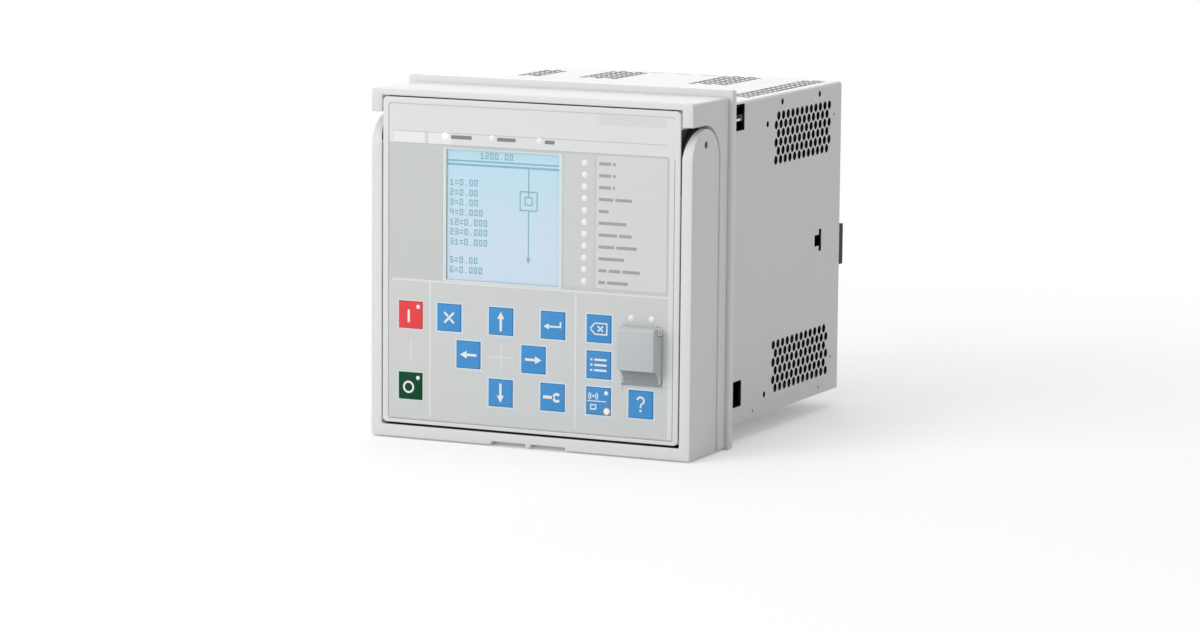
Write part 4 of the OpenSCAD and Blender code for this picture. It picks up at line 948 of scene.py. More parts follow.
# %% Labels beside the alarm lights and the status lights
LABEL_LEFT, BAR_GAP, BAR_HALF = 37.2, 1.1, 0.75
STATUS_LOW, STATUS_HIGH = 62.0, 63.8
STATUS_ENDS = ((-42.9, -31.6), (-17.8, -7.8), (8.0, 13.2))
bar_lengths = [(6.2, 1.4), (6.2, 1.4), (6.2, 1.2), (7.6, 8.8), (5.2,), (14.6,), (9.8, 6.6), (8.4, 10.8),
               (13.6,), (4.4, 6.2, 9.2), (3.6, 11.0)]
label_bars = []
for z, lengths in zip(alarm_zs, bar_lengths):
    left = LABEL_LEFT
    for length in lengths:
        label_bars.append((left, z / MM - BAR_HALF, left + length, z / MM + BAR_HALF))
        left += length + BAR_GAP
print_bars("alarm_label_bars", label_bars, film_face, prints["soft_text"], UNIT, "overlay_film")
status_bars = [(left, STATUS_LOW, right, STATUS_HIGH) for left, right in STATUS_ENDS]
print_bars("status_label_bars", status_bars, film_face, prints["text"], UNIT, "overlay_film")

# %% [markdown]
# ## What the display shows
# A relay shows its measured values beside a line diagram of the breaker that it trips. The
# numbers are built from square dots, as such a display builds them: a small table of five
# rows for each digit gives the dots, and the tree of the bars prints each dot.

# %% Dots of the digits
DIGITS = {
    "0": "111 101 101 101 111", "1": "010 110 010 010 111", "2": "111 001 111 100 111",
    "3": "111 001 111 001 111", "4": "101 101 111 001 001", "5": "111 100 111 001 111",
    "6": "111 100 111 101 111", "7": "111 001 010 010 010", "8": "111 101 111 101 111",
    "9": "111 101 111 001 111", "=": "000 111 000 111 000", ".": "000 000 000 000 010",
}
SCREEN_DOT, DOT_GAP = 0.66, 0.06
DOTS_WIDE, DOTS_HIGH = 4, 5


def dots_of(text, left, top, dot=SCREEN_DOT):
    """The dots of a row of digits, as bars."""
    dots = []
    for place, sign in enumerate(text):
        for row, line in enumerate(DIGITS[sign].split()):
            for column, ink in enumerate(line):
                if ink == "1":
                    x = left + (DOTS_WIDE * place + column) * dot
                    z = top - (row + 1) * dot
                    dots.append((x, z, x + dot - DOT_GAP, z + dot - DOT_GAP))
    return dots


print("dots in an 8:", len(dots_of("8", 0, 0)))

# %% Rows of values, by the height of their tops
ROWS = {42.5: "1=0.00", 37.5: "2=0.00", 32.7: "3=0.00", 27.8: "4=0.000", 22.9: "12=0.000", 18.1: "23=0.000",
        13.1: "31=0.000", 4.2: "5=0.00", -0.7: "6=0.000"}
ROW_LEFT, TITLE_LEFT, TITLE_TOP = -43.7, -27.2, 56.1
screen_dots = [dot for top, text in ROWS.items() for dot in dots_of(text, ROW_LEFT, top)]
screen_dots += dots_of("1200.00", TITLE_LEFT, TITLE_TOP)
print_bars("display_values", screen_dots, display_face, prints["crystal"], UNIT, "display")

# %% Line diagram of the breaker
LINE_X, BOX_Z = -0.9, 33.4
BOX_OUT, BOX_IN, INK = 4.9, 2.2, 0.62
RULE_LEFT, RULE_RIGHT = -45.2, 15.6
RULES = ((51.1, 51.9), (49.1, 50.1))
LINE_FOOT, ARROW_TIP, ARROW_HALF = 5.6, 2.6, 1.2


def square_line(x, z, half, width):
    """The four sides of a square, drawn as bars."""
    inner = half - width
    return [bar(x - half, z + inner, x + half, z + half), bar(x - half, z - half, x + half, z - inner),
            bar(x - half, z - inner, x - inner, z + inner), bar(x + inner, z - inner, x + half, z + inner)]


line_top = RULES[1][0] - 2 * CLEAR
diagram = [bar(RULE_LEFT, low, RULE_RIGHT, high) for low, high in RULES]
diagram += [upright_bar(LINE_X, low, high, INK / 2) for low, high in (
    (BOX_Z + BOX_OUT, line_top), (LINE_FOOT, BOX_Z - BOX_OUT), (BOX_Z + BOX_IN, BOX_Z + BOX_OUT - INK))]
diagram += square_line(LINE_X, BOX_Z, BOX_OUT, INK) + square_line(LINE_X, BOX_Z, BOX_IN, INK)
diagram += [[(LINE_X - ARROW_HALF, LINE_FOOT), (LINE_X, ARROW_TIP), (LINE_X + ARROW_HALF, LINE_FOOT)]]
flat_piece("display_diagram", diagram, display_face, prints["crystal"], UNIT)

# %% [markdown]
# ## Painted shade round the handle
# Black pieces round the handle are painted shade: they darken the gaps and corners where shade
# falls. A thin black plate lies between the panel and the round end of each arm. The arm has a
# black sheet on its inner face and one on its round end. They darken the corner under the cap and
# the gap beside the front. Each arm has a small hole for a seal wire, which looks black, because a
# black disc of painted shade sits just below its mouth. A black strip on the bar and one on the
# panel's upper edge darken the gaps there and show as dark lines. Plates, discs and inner sheets
# are outlines of the YZ plane, pushed out along X.


# %% Helpers for plates that face sideways, and for pieces of painted shade
def side_plate(name, outline, inner, outer, finish, body):
    """An outline of the YZ plane, in metres, as a plate between two X."""
    loop = anticlockwise(outline)
    if outer < inner:
        loop = loop[::-1]
    shape = bmesh.new()
    add_prism(shape, *([(x, y, z) for y, z in loop] for x in (outer, inner)))
    return shape_piece(name, shape, finish, body)


def seal_piece(name, shape, body):
    """A shape as a dark piece of painted shade that rides on a body."""
    bmesh.ops.recalc_face_normals(shape, faces=shape.faces)
    return shape_piece(name, shape, finishes["seal_rubber"], body)


def seal_strip(name, low, high, body):
    """A dark strip of painted shade that fills a box."""
    strip = bmesh.new()
    bmesh.ops.create_cube(strip, size=1)
    bmesh.ops.scale(strip, vec=Vector(high) - Vector(low), verts=strip.verts)
    bmesh.ops.translate(strip, vec=(Vector(low) + Vector(high)) / 2, verts=strip.verts)
    return seal_piece(name, strip, body)


SIDES = {"right": 1, "left": -1}
print("sides:", list(SIDES))

# %% Plates of painted shade beside the arms, and discs of painted shade in the seal holes
PIVOT_Y, PIVOT_Z = -32 * MM, 56 * MM
ARM_RADIUS, ARM_GAP = 16 * MM, 0.6 * MM
PLATE_T, PLATE_INSET, PLATE_FOOT = 0.15 * MM, 0.2 * MM, 15 * MM
PLATE_START, PLATE_SWEEP, PLATE_STEPS = -60, 150, 24
HOLE_R, HOLE_RISE = 1.58 * MM, 8.2 * MM
HOLE_SHADE_FLOOR, HOLE_SHADE_TOP = 0.6 * MM, 0.1 * MM
plate_r = ARM_RADIUS + ARM_GAP - PLATE_INSET
plate_front = handle_low.y + ARM_GAP
plate_angles = [math.radians(PLATE_START + PLATE_SWEEP * i / PLATE_STEPS) for i in range(PLATE_STEPS + 1)]
plate = arc_points((PIVOT_Y, PIVOT_Z), plate_r, plate_angles)
plate += [(plate_front, PIVOT_Z + plate_r), (plate_front, PIVOT_Z - PLATE_FOOT)]
hole_shade_disc = disc((PIVOT_Y, PIVOT_Z + HOLE_RISE), HOLE_R)
wall_x, arm_x = panel_high.x, handle_high.x
for name, way in SIDES.items():
    side_plate("painted_shade_plate_" + name, plate, way * wall_x, way * (wall_x + PLATE_T), prints["black"], UNIT)
    side_plate("seal_hole_shade_" + name, hole_shade_disc, way * (arm_x - HOLE_SHADE_FLOOR), way * (arm_x - HOLE_SHADE_TOP),
               prints["black"], "handle")
print("slide plates and plugs: 4")

# %% Black sheets of painted shade on the round ends of the arms
ARM_THICK, PAD_T, PAD_SUNK = 5.85 * MM, 0.12 * MM, 0.4 * MM
PAD_TOP, PAD_FRONT, PAD_STEPS = 92, 166, 16
PAD_WIDE, PAD_NARROW = 3.4 * MM, 0.3 * MM
arm_inner = arm_x - ARM_THICK


def round_pad(name, way):
    """A black sheet of painted shade on the round end of an arm, which narrows from the top to the front."""
    shape = bmesh.new()
    outer, inner = ARM_RADIUS + PAD_T / 2, ARM_RADIUS - PAD_SUNK
    loops = []
    for i in range(PAD_STEPS + 1):
        share = i / PAD_STEPS
        angle = math.radians(PAD_TOP + (PAD_FRONT - PAD_TOP) * share)
        width = PAD_WIDE + (PAD_NARROW - PAD_WIDE) * share
        near, far = way * arm_inner, way * (arm_inner + width)
        section = ((near, outer), (far, outer), (far, inner), (near, inner))
        loops.append([shape.verts.new((x, PIVOT_Y + r * math.cos(angle), PIVOT_Z + r * math.sin(angle)))
                      for x, r in section])
    for before, after in zip(loops, loops[1:]):
        for i in range(4):
            j = (i + 1) % 4
            shape.faces.new((before[i], before[j], after[j], after[i]))
    shape.faces.new(loops[0])
    shape.faces.new(loops[-1][::-1])
    return seal_piece(name, shape, "handle")


print("pads reach from", PAD_TOP, "to", PAD_FRONT, "degrees")

# %% Painted shade on the bar, on the panel's upper edge and on the inner faces of the arms
BAR_TOP, BAR_SHADE_T, BAR_SHADE_INSET = -81.9 * MM, 0.1 * MM, 0.6 * MM
BAR_SHADE_FRONT, BAR_SHADE_BACK = 0.9 * MM, 28 * MM
TOP_SHADE_HALF, TOP_SHADE_FRONT, TOP_SHADE_BACK = 78 * MM, 0.4 * MM, 9 * MM
SHADE_INNER_PAD = (0.75, -78, 4.5, 58)
bar_shade_half = wall_x - BAR_SHADE_INSET
seal_strip("bar_painted_shade", (-bar_shade_half, handle_low.y + BAR_SHADE_FRONT, BAR_TOP),
           (bar_shade_half, handle_low.y + BAR_SHADE_BACK, BAR_TOP + BAR_SHADE_T), "handle")
seal_strip("panel_painted_shade", (-TOP_SHADE_HALF, rim_face + TOP_SHADE_FRONT, panel_high.z),
           (TOP_SHADE_HALF, rim_face + TOP_SHADE_BACK, panel_high.z + PAD_T), UNIT)
painted_shade_inner_pad = [(handle_low.y + y * MM, z * MM) for y, z in bar(*SHADE_INNER_PAD)]
for name, way in SIDES.items():
    side_plate("inner_shade_pad_" + name, painted_shade_inner_pad, way * arm_inner, way * (arm_inner - PAD_T),
               finishes["seal_rubber"], "handle")
    round_pad("round_shade_pad_" + name, way)
print("felt, seal and pads: 6")

# %% [markdown]
# ## Ribs and contacts
# Terminal blocks have a thin rib between every two ways, and a network socket has a row of
# gilded springs. Both are rows of small boxes, so one tree makes them: a line of points with a
# count and a step, and a box of a given size on each point. The tree of the key borders gives
# each wire entry its square rim.

# %% The tree of a row of boxes
row_tree, given = open_tree("row of boxes", Count="Int", Start="Vector", Step="Vector", Size="Vector",
                            Material="Material")
line = step(row_tree, "GeometryNodeMeshLine", Count=given["Count"], Start_Location=given["Start"],
            Offset=given["Step"])
one_box = step(row_tree, "GeometryNodeMeshCube", Size=given["Size"])
close_tree(row_tree, given, line, one_box)
ORIGIN = [(0, 0, 0)]

# %% Ribs of the terminal blocks, and rims of the wire entries
SIGNAL = {"node": "signal_terminals", "ways": 24, "pitch": 5.08 * MM, "width": 16 * MM}
MEASURING = {"node": "measuring_terminals", "ways": 14, "pitch": 7.62 * MM, "width": 20 * MM}
BLOCK_INSET = 0.5 * MM
RIB_WIDTH, RIB_HEIGHT = 0.7 * MM, 0.5 * MM
ENTRY_SIDE, ENTRY_WIDTH = 3.6 * MM, 3.5 * MM
RIM_LINE, RIM_OUT, RIM_CORNER = 0.45 * MM, 0.8 * MM, 0.2 * MM
for block in (SIGNAL, MEASURING):
    low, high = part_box(block["node"])
    edge = block["width"] / 2 + BLOCK_INSET
    block.update(xs=(low.x + edge, high.x - edge), rear=high.y)


def terminal_ribs(name, block):
    """Ribs between the ways of a pair of terminal blocks."""
    lowest = -block["ways"] * block["pitch"] / 2
    for number, x in enumerate(block["xs"], 1):
        grow(name + "_" + str(number), row_tree, ORIGIN, CASE, "black_plastic", Count=block["ways"] + 1,
             Start=(x, block["rear"] + RIB_HEIGHT / 2, lowest), Step=(0, 0, block["pitch"]),
             Size=(block["width"], RIB_HEIGHT, RIB_WIDTH), Material=finishes["black_plastic"])


def entry_rims(name, block):
    """A square rim round each wire entry of a pair of terminal blocks."""
    zs = [(way - (block["ways"] - 1) / 2) * block["pitch"] for way in range(block["ways"])]
    spots = [(x + ENTRY_SIDE, block["rear"] + RIM_OUT, z) for x in block["xs"] for z in zs]
    grow(name, border_tree, spots, CASE, "black_plastic", Width=ENTRY_WIDTH, Height=ENTRY_WIDTH,
         Line=RIM_LINE, Corner=RIM_CORNER, Thickness=RIM_OUT, Material=finishes["black_plastic"])


terminal_ribs("signal_ribs", SIGNAL)
terminal_ribs("measuring_ribs", MEASURING)
entry_rims("signal_entry_rims", SIGNAL)
entry_rims("measuring_entry_rims", MEASURING)

# %% Springs in the two network sockets
CONTACTS, CONTACT_PITCH = 8, 1.02 * MM
CONTACT_SIZE = (0.4 * MM, 7 * MM, 0.6 * MM)
SOCKET_HALF, CONTACT_DROP, CONTACT_DEPTH = 4.2 * MM, 0.3 * MM, 5.5 * MM
gilded = textured("gilded spring", (0.80, 0.56, 0.20), 0.22, 0.6, 0.003, 0.05, 1.0)
for node, body, contact_y in (("front_port", UNIT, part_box("front_port")[0].y + CONTACT_DEPTH),
                              ("rear_port", CASE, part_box("rear_port")[1].y - CONTACT_DEPTH)):
    spot = middle(node)
    first = (spot.x - (CONTACTS - 1) * CONTACT_PITCH / 2, contact_y, spot.z + SOCKET_HALF - CONTACT_DROP)
    grow(node + "_springs", row_tree, ORIGIN, body, slot_of_node[node], Count=CONTACTS, Start=first,
         Step=(CONTACT_PITCH, 0, 0), Size=CONTACT_SIZE, Material=gilded)

# %% [markdown]
# ## Drives of the flush screws
# The countersunk screws of the case are flush, so what shows is the cross of the drive. It could
# be cut into each head, but at this size two thin dark bars give the same look: they are painted
# shade, the dark that the recess holds, and the tree of the bars is there already.

# %% Crosses of painted shade on the screws of the case and of the frame
CROSS_LONG, CROSS_WIDE, CROSS_THICK = 1.9, 0.45, 0.06
HEAD_R = 2.7 * MM
UPPER_SCREW_Z, LOWER_SCREW_Z, FLOOR_SCREW_Y = 64.3 * MM, -61.8 * MM, 126 * MM


def cross_sizes(axis, thick):
    """The sizes of the two bars of a cross whose face looks along an axis."""
    sizes = [[CROSS_LONG, CROSS_WIDE], [CROSS_WIDE, CROSS_LONG]]
    for pair in sizes:
        pair.insert(axis, thick)
    return sizes


screw_low, screw_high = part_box("case_screws")
side_screws = [(screw_high.y - HEAD_R, UPPER_SCREW_Z), (screw_high.y - HEAD_R, LOWER_SCREW_Z),
               (screw_low.y + HEAD_R, screw_low.z + HEAD_R), (FLOOR_SCREW_Y, screw_low.z + HEAD_R)]
side_heads = [(x, y, z) for x in (screw_low.x, screw_high.x) for y, z in side_screws]
collar_low, collar_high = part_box("frame_screws")
collar_x, collar_y = collar_high.x - HEAD_R, (collar_low.y + collar_high.y) / 2
collar_heads = [(x, collar_y, z) for z in (collar_low.z, collar_high.z) for x in (-collar_x, collar_x)]
bar_sizes = cross_sizes(0, CROSS_THICK) * len(side_heads) + cross_sizes(2, CROSS_THICK) * len(collar_heads)
grow("screw_drive_shade", bar_tree, [spot for spot in side_heads + collar_heads for _ in range(2)], CASE,
     "dark_steel", bar_sizes, Scale=MM, Material=prints["black"])

# %% [markdown]
# ## Marks and screws on the rear
# Someone who wires the relay counts the ways of the terminals. A short line is printed beside
# each way, and a number beside the first, the last and every fifth. They are prints on a face
# that looks to +Y, so the digits of the display are used again, turned round. The earth stud has
# its usual sign, and the cover of the slot has two screws.

# %% Lines and numbers beside the ways
REAR_DOT, TICK, TICK_HALF, NUMBER_GAP, BLOCK_GAP = 0.35, 0.9, 0.11, 0.5, 0.9
NUMBERED = 5
rear_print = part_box("rear_panel")[1].y + PRINT
rear_slot = slot_of_node["rear_panel"]
rear_ticks, rear_numbers = [], []
for block in (SIGNAL, MEASURING):
    ways = block["ways"]
    for x in block["xs"]:
        edge = (x - block["width"] / 2) / MM - BLOCK_GAP
        for way in range(1, ways + 1):
            z = ((ways + 1) / 2 - way) * block["pitch"] / MM
            rear_ticks.append((edge - TICK, z - TICK_HALF, edge, z + TICK_HALF))
            if way in (1, ways) or way % NUMBERED == 0 and way + 1 < ways:
                dots = dots_of(str(way), 0, z + DOTS_HIGH / 2 * REAR_DOT, REAR_DOT)
                start = edge - TICK - NUMBER_GAP
                rear_numbers += [(start - right, low, start - left, high) for left, low, right, high in dots]
print_bars("rear_ticks", rear_ticks, rear_print, prints["text"], CASE, rear_slot)
print_bars("rear_numbers", rear_numbers, rear_print, prints["text"], CASE, rear_slot)

# %% The earth sign
stud = middle("earth_stud")
SIGN_SHIFT, SIGN_R, SIGN_LINE, SIGN_TOP = 9.5, 3.0, 0.4, 2.2
SIGN_BARS = ((1.8, 0.0), (1.15, -0.8), (0.5, -1.6))
earth_sign = whole_ring(SIGN_R, SIGN_LINE) + [upright_bar(0, SIGN_LINE + CLEAR, SIGN_TOP, SIGN_LINE / 2)]
earth_sign += [bar(-half, z, half, z + SIGN_LINE) for half, z in SIGN_BARS]
flat_piece("earth_sign", moved(earth_sign, stud.x / MM + SIGN_SHIFT, stud.z / MM), rear_print,
           prints["text"], CASE)

# %% Screws of the slot's cover
PLATE_SCREW_R, PLATE_SCREW_DOME, PLATE_SCREW_INSET = 2.2 * MM, 0.3, 4.5 * MM
DRIVE_SHARE, DRIVE_THICK = 0.92, 0.15
plate_low, plate_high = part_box("port_plate")
plate_x = (plate_low.x + plate_high.x) / 2
plate_zs = (plate_low.z + PLATE_SCREW_INSET, plate_high.z - PLATE_SCREW_INSET)
grow("plate_screw_heads", lens_tree, [(plate_x, plate_high.y, z) for z in plate_zs], CASE, "zinc_steel",
     Radius=PLATE_SCREW_R, Dome=PLATE_SCREW_DOME, Material=finishes["zinc_steel"])
# the crosses on the heads are painted shade of the drives
drive_y = plate_high.y + DRIVE_SHARE * PLATE_SCREW_R * PLATE_SCREW_DOME
grow("plate_screw_drive_shade", bar_tree, [(plate_x, drive_y, z) for z in plate_zs for _ in range(2)], CASE,
     "dark_steel", cross_sizes(1, DRIVE_THICK) * len(plate_zs), Scale=MM, Material=prints["black"])

# %% [markdown]
# ## Parts on the boards
# When the unit is drawn out, its boards show. The current transformers are ring cores wound with
# enamelled wire: a tree bends one turn of wire round the ring's section and repeats it on a
# circle, then repeats the ring on the board. The supply's coil is a stack of round turns, and a
# stack with a wider step gives the earth stud its thread. Chips get two rows of legs, small parts
# are strewn along the boards' upper edges, and the capacitors get bare metal lids.

# %% The tree of a wound ring
ring_tree, given = open_tree("wound ring", Turns="Int", Mean_Radius="Float", Radial="Float", Axial="Float",
                             Wire="Float", Material="Material")
CIRCLE = "GeometryNodeCurvePrimitiveCircle"
WIRE_SIDES, WIRE_BEND = 6, 0.8 * MM
section = step(ring_tree, RECTANGLE, Width=given["Radial"], Height=given["Axial"])
bend = step(ring_tree, "GeometryNodeFilletCurve", Curve=section, Radius=WIRE_BEND)
wire = step(ring_tree, CIRCLE, Resolution=WIRE_SIDES, Radius=given["Wire"])
one_turn = step(ring_tree, "GeometryNodeCurveToMesh", Curve=bend, Profile_Curve=wire)
standing = step(ring_tree, "GeometryNodeTransform", Geometry=one_turn, Rotation=(QUARTER, 0, 0))
circle = step(ring_tree, CIRCLE, Resolution=given["Turns"], Radius=given["Mean Radius"])
outward = step(ring_tree, "FunctionNodeAlignRotationToVector", axis="X",
               Vector=step(ring_tree, "GeometryNodeInputPosition"))
turns = step(ring_tree, "GeometryNodeInstanceOnPoints", Points=circle, Instance=standing, Rotation=outward)
across = step(ring_tree, "GeometryNodeTransform", Geometry=turns, Rotation=(0, QUARTER, 0))
close_tree(ring_tree, given, given["Geometry"], across)

# %% Windings of the six current transformers
RING_D, RING_W, RING_T, RING_WIRE, RING_TURNS = 30 * MM, 9 * MM, 16 * MM, 0.32 * MM, 56
ring_low, ring_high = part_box("current_transformers")
ring_ys = [ring_low.y + RING_D / 2, ring_high.y - RING_D / 2]
ring_zs = [ring_low.z + RING_D / 2, (ring_low.z + ring_high.z) / 2, ring_high.z - RING_D / 2]
grow("ring_windings", ring_tree, [(ring_low.x + RING_T / 2, y, z) for y in ring_ys for z in ring_zs], UNIT,
     "copper_winding", Turns=RING_TURNS, Mean_Radius=(RING_D - RING_W) / 2, Radial=RING_W + RING_WIRE,
     Axial=RING_T + RING_WIRE, Wire=RING_WIRE, Material=winding)

# %% The tree of a stack of turns
coil_tree, given = open_tree("stack of turns", Turns="Int", Start="Vector", Step="Vector", Tilt="Vector",
                             Radius="Float", Wire="Float", Material="Material")
stack = step(coil_tree, "GeometryNodeMeshLine", Count=given["Turns"], Start_Location=given["Start"],
             Offset=given["Step"])
TURN_STEPS = 32
loop = step(coil_tree, CIRCLE, Resolution=TURN_STEPS, Radius=given["Radius"])
profile = step(coil_tree, CIRCLE, Resolution=WIRE_SIDES, Radius=given["Wire"])
round_turn = step(coil_tree, "GeometryNodeCurveToMesh", Curve=loop, Profile_Curve=profile)
tilted = step(coil_tree, "GeometryNodeTransform", Geometry=round_turn, Rotation=given["Tilt"])
close_tree(coil_tree, given, stack, tilted)

# %% The supply's coil, and the thread of the earth stud
CORE_LEG, COIL_RADIUS, COIL_WIRE = 7 * MM, 6.2 * MM, 0.36 * MM
core_low, core_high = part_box("supply_transformer")
core_middle = middle("supply_transformer")
coil_low, coil_high = core_low.z + CORE_LEG, core_high.z - CORE_LEG
coil_turns = int((coil_high - coil_low) / (2 * COIL_WIRE))
coil_step = (coil_high - coil_low - 2 * COIL_WIRE) / (coil_turns - 1)
grow("supply_coil", coil_tree, ORIGIN, UNIT, "copper_winding", Turns=coil_turns,
     Start=(core_middle.x, core_middle.y, coil_low + COIL_WIRE), Step=(0, 0, coil_step), Tilt=(0, 0, 0),
     Radius=COIL_RADIUS, Wire=COIL_WIRE, Material=winding)
THREAD_PITCH, THREAD_TURNS, THREAD_RADIUS, THREAD_WIRE = 0.8 * MM, 11, 2.42 * MM, 0.22 * MM
thread_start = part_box("earth_nut")[1].y + THREAD_PITCH / 2
grow("earth_thread", coil_tree, ORIGIN, CASE, "brass", Turns=THREAD_TURNS,
     Start=(stud.x, thread_start, stud.z), Step=(0, THREAD_PITCH, 0), Tilt=(QUARTER, 0, 0),
     Radius=THREAD_RADIUS, Wire=THREAD_WIRE, Material=finishes["brass"])

# %% Legs of the chips, each chip given by its y, z, depth and height in millimetres
CHIPS = [(30, 20, 26, 26), (70, 20, 18, 24), (70, -22, 18, 24), (30, -24, 20, 14), (100, 0, 8, 40)]
LEG_PITCH, LEG_LENGTH, LEG_WIDTH, LEG_HEIGHT, LEG_MARGIN = 1.27, 1.0, 0.5, 0.9, 1
tinned = textured("tinned leg", (0.72, 0.72, 0.71), 0.3, 0.6, 0.003, 0.04, 1.0)
leg_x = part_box("processor_chips")[1].x - LEG_HEIGHT / 2 * MM
leg_points = []
for y, z, depth, height in CHIPS:
    count = int((depth - LEG_MARGIN) / LEG_PITCH)
    ys = [y + (i - (count - 1) / 2) * LEG_PITCH for i in range(count)]
    for way in (-1, 1):
        leg_z = z + way * (height + LEG_LENGTH) / 2
        leg_points += [(leg_x, leg_y * MM, leg_z * MM) for leg_y in ys]
grow("chip_legs", bar_tree, leg_points, UNIT, "black_plastic",
     [(LEG_HEIGHT, LEG_WIDTH, LEG_LENGTH)] * len(leg_points), Scale=MM, Material=tinned)

# %% The tree of strewn small parts
strew_tree, given = open_tree("small parts", Columns="Int", Rows="Int", Depth="Float", Height="Float",
                              Share="Float", Seed="Int", Size="Vector", Material="Material")
field = step(strew_tree, "GeometryNodeMeshGrid", Size_X=given["Height"], Size_Y=given["Depth"],
             Vertices_X=given["Rows"], Vertices_Y=given["Columns"])
chance = add_node(strew_tree, "FunctionNodeRandomValue", data_type="BOOLEAN", Probability=given["Share"],
                  Seed=given["Seed"])
chosen = step(strew_tree, "GeometryNodeMeshToPoints", Mesh=field,
              Selection=next(o for o in chance.outputs if o.enabled))
small_part = step(strew_tree, "GeometryNodeMeshCube", Size=given["Size"])
strewn = step(strew_tree, "GeometryNodeInstanceOnPoints", Points=chosen, Instance=small_part)
on_edge = step(strew_tree, "GeometryNodeTransform", Geometry=strewn, Rotation=(0, QUARTER, 0))
close_tree(strew_tree, given, given["Geometry"], on_edge)

# %% Small parts along the upper edges of the boards
PART_SIZE = (2.0 * MM, 1.2 * MM, 1.0 * MM)
STRIP_DEPTH, STRIP_HEIGHT, STRIP_DROP = 100 * MM, 9 * MM, 8 * MM
STRIP_COLUMNS, STRIP_ROWS, STRIP_SHARE = 34, 3, 0.55
ceramic = textured("ceramic part", (0.30, 0.20, 0.12), 0.45, 0.6, 0.004, 0.2)
for seed, node in enumerate(("processor_board", "supply_board", "output_board", "measuring_board"), 1):
    low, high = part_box(node)
    spot = (low.x - PART_SIZE[2] / 2, (low.y + high.y) / 2, high.z - STRIP_DROP)
    grow(node + "_parts", strew_tree, [spot], UNIT, "board_green", Columns=STRIP_COLUMNS, Rows=STRIP_ROWS,
         Depth=STRIP_DEPTH, Height=STRIP_HEIGHT, Share=STRIP_SHARE, Seed=seed, Size=PART_SIZE,
         Material=ceramic)

# %% Lids of the capacitors
CANS, LID_SHARE, LID_T = 3, 0.86, 0.1 * MM
can_low, can_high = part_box("supply_capacitors")
can_r, can_z = (can_high.z - can_low.z) / 2, (can_low.z + can_high.z) / 2
can_pitch = (can_high.y - can_low.y - 2 * can_r) / (CANS - 1)
lid_finish = textured("bare lid", (0.70, 0.71, 0.72), 0.35, 0.8, 0.004, 0.04, 1.0)
for i in range(CANS):
    lid = disc((can_low.y + can_r + i * can_pitch, can_z), can_r * LID_SHARE, steps=32)
    side_plate("capacitor_lid_" + str(i + 1), lid, can_low.x, can_low.x - LID_T, lid_finish, UNIT)
print("lids on capacitors:", CANS)

# %% [markdown]
# ## A white studio
# The background is white only where it is seen, mirrored or looked at through glass. To all else
# the world gives a low even light. A large lamp above and one at the front left do the most, and a
# weaker one lights the rear. The floor is a plain pale sheet that keeps the soft shadow near the
# relay. Further out it turns from a lit surface to an even white, so that it meets the background
# without a horizon.


# %% World
def seen_rays(tree):
    """A factor that is 1 for rays that show the background: seen, mirrored or through glass."""
    path = tree.nodes.new("ShaderNodeLightPath").outputs
    seen = math_step(tree, "MAXIMUM", path["Is Camera Ray"], path["Is Glossy Ray"])
    return math_step(tree, "MAXIMUM", seen, path["Is Transmission Ray"])


WHITE, AMBIENT = (1, 1, 1, 1), 0.5
world = bpy.data.worlds.new("studio")
bpy.context.scene.world = world
world.use_nodes = True
tree = world.node_tree
tree.nodes.clear()
choice = add_node(tree, "ShaderNodeMixShader", Fac=seen_rays(tree))
for socket, strength in zip(choice.inputs[1:3], (AMBIENT, 1.0)):
    feed(tree, socket, step(tree, "ShaderNodeBackground", Color=WHITE, Strength=strength))
add_node(tree, "ShaderNodeOutputWorld", Surface=choice.outputs[0])
print("even light:", AMBIENT)

# %% Floor
FLOOR_HALF, FLOOR_GAP = 4.0, 0.2 * MM
FLOOR_GREY, FLOOR_LIFT = (0.80, 0.80, 0.80), 0.27
FADE_START, FADE_END = 0.22, 0.75
floor_z = cad_box[0].z - FLOOR_GAP
floor_mesh = bpy.data.meshes.new("floor")
floor_mesh.from_pydata([(x, y, floor_z) for x, y in bar(-FLOOR_HALF, -FLOOR_HALF, FLOOR_HALF, FLOOR_HALF)],
                       [], [(0, 1, 2, 3)])
floor_finish = plain_finish("studio floor", FLOOR_GREY, 0.9)
set_shader(floor_finish, Specular_IOR_Level=0.0, Emission_Color=WHITE)
tree = floor_finish.node_tree
distance = add_node(tree, "ShaderNodeVectorMath", operation="LENGTH")
feed(tree, distance.inputs[0], place_on_object(floor_finish))
fade = step(tree, "ShaderNodeMapRange", interpolation_type="SMOOTHSTEP", Value=distance.outputs["Value"],
            From_Min=FADE_START, From_Max=FADE_END)
seen_floor = seen_rays(tree)
shade_by(floor_finish, math_step(tree, "MULTIPLY", fade, seen_floor), FLOOR_GREY, (0, 0, 0))
lifted = math_step(tree, "ADD", math_step(tree, "MULTIPLY", fade, 1 - FLOOR_LIFT), FLOOR_LIFT)
into_shader(floor_finish, "Emission Strength", math_step(tree, "MULTIPLY", lifted, seen_floor))
floor_mesh.materials.append(floor_finish)
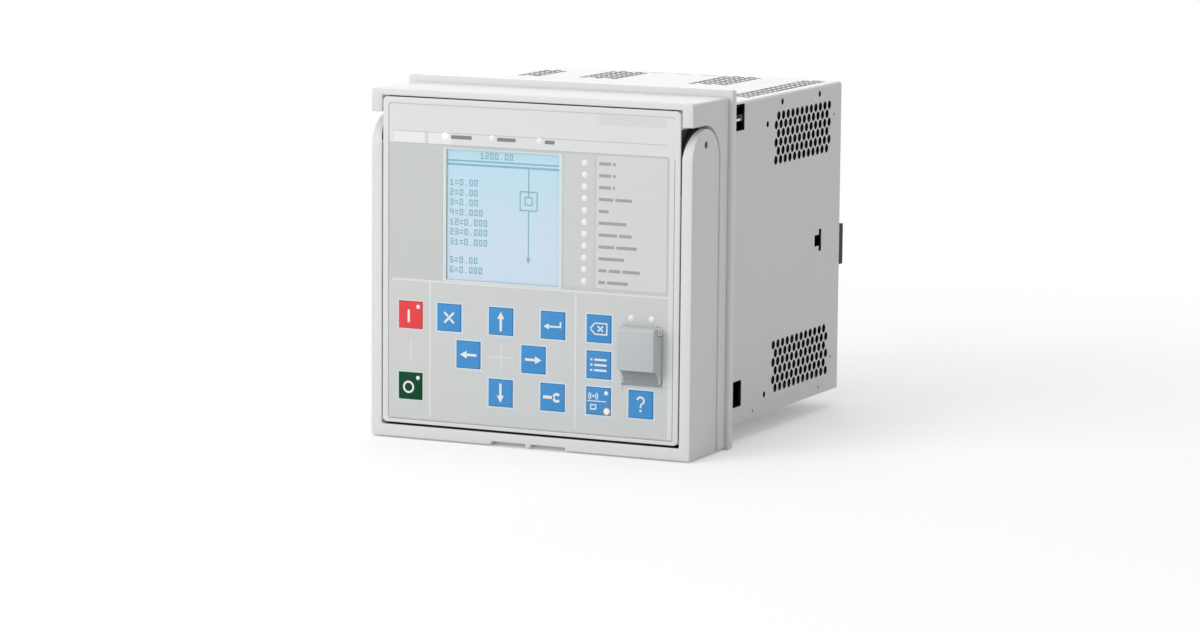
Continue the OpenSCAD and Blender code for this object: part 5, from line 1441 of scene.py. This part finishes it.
link(bpy.data.objects.new("floor", floor_mesh))
print("floor at", round(floor_z / MM, 1), "mm")


# %% Studio lamps
def softbox(name, place, target, width, height, power):
    """A rectangular lamp that looks at a point."""
    lamp = bpy.data.lights.new(name, "AREA")
    lamp.shape = "RECTANGLE"
    lamp.size, lamp.size_y, lamp.energy = width, height, power
    holder = link(bpy.data.objects.new(name, lamp))
    holder.location = place
    holder.rotation_euler = (Vector(target) - Vector(place)).to_track_quat("-Z", "Y").to_euler()
    print(name, "of", power, "W")


softbox("top_light", (-0.1, 0.0, 1.5), target=(0, 0.03, 0), width=1.6, height=1.2, power=6.5)
softbox("front_light", (-0.75, -1.5, 0.7), target=(0, 0, 0), width=1.2, height=1.0, power=14.5)
softbox("rear_light", (-0.6, 1.6, 0.7), target=(0, 0.05, 0), width=1.2, height=1.0, power=5)

# %% [markdown]
# ## The camera
# The camera stands where the photograph's did: turned by 25 degrees to the right, a little above,
# with a long lens and a slight roll. Its axes are built from those angles.

# %% Camera from its angles
TURN, TILT, ROLL = math.radians(24.92), math.radians(8.03), math.radians(0.51)
CAMERA_PLACE = Vector((0.957, -2.025, 0.288))
FOCAL_PIXELS, IMAGE_WIDTH, SENSOR = 4547, 1200, 36
back = Vector((math.sin(TURN) * math.cos(TILT), -math.cos(TURN) * math.cos(TILT), math.sin(TILT)))
level = (-back).cross(Vector((0, 0, 1))).normalized()
above = level.cross(-back)
right = math.cos(ROLL) * level + math.sin(ROLL) * above
up = math.cos(ROLL) * above - math.sin(ROLL) * level
camera_data = bpy.data.cameras.new("camera")
camera_data.sensor_width = SENSOR
camera_data.lens = FOCAL_PIXELS / IMAGE_WIDTH * SENSOR
camera_data.clip_start, camera_data.clip_end = 0.05, 50
camera = link(bpy.data.objects.new("camera", camera_data))
camera.matrix_world = Matrix.Translation(CAMERA_PLACE) @ Matrix((right, up, back)).transposed().to_4x4()
bpy.context.scene.camera = camera
bpy.context.scene.view_settings.view_transform = "Standard"
print("lens:", round(camera_data.lens, 1), "mm")
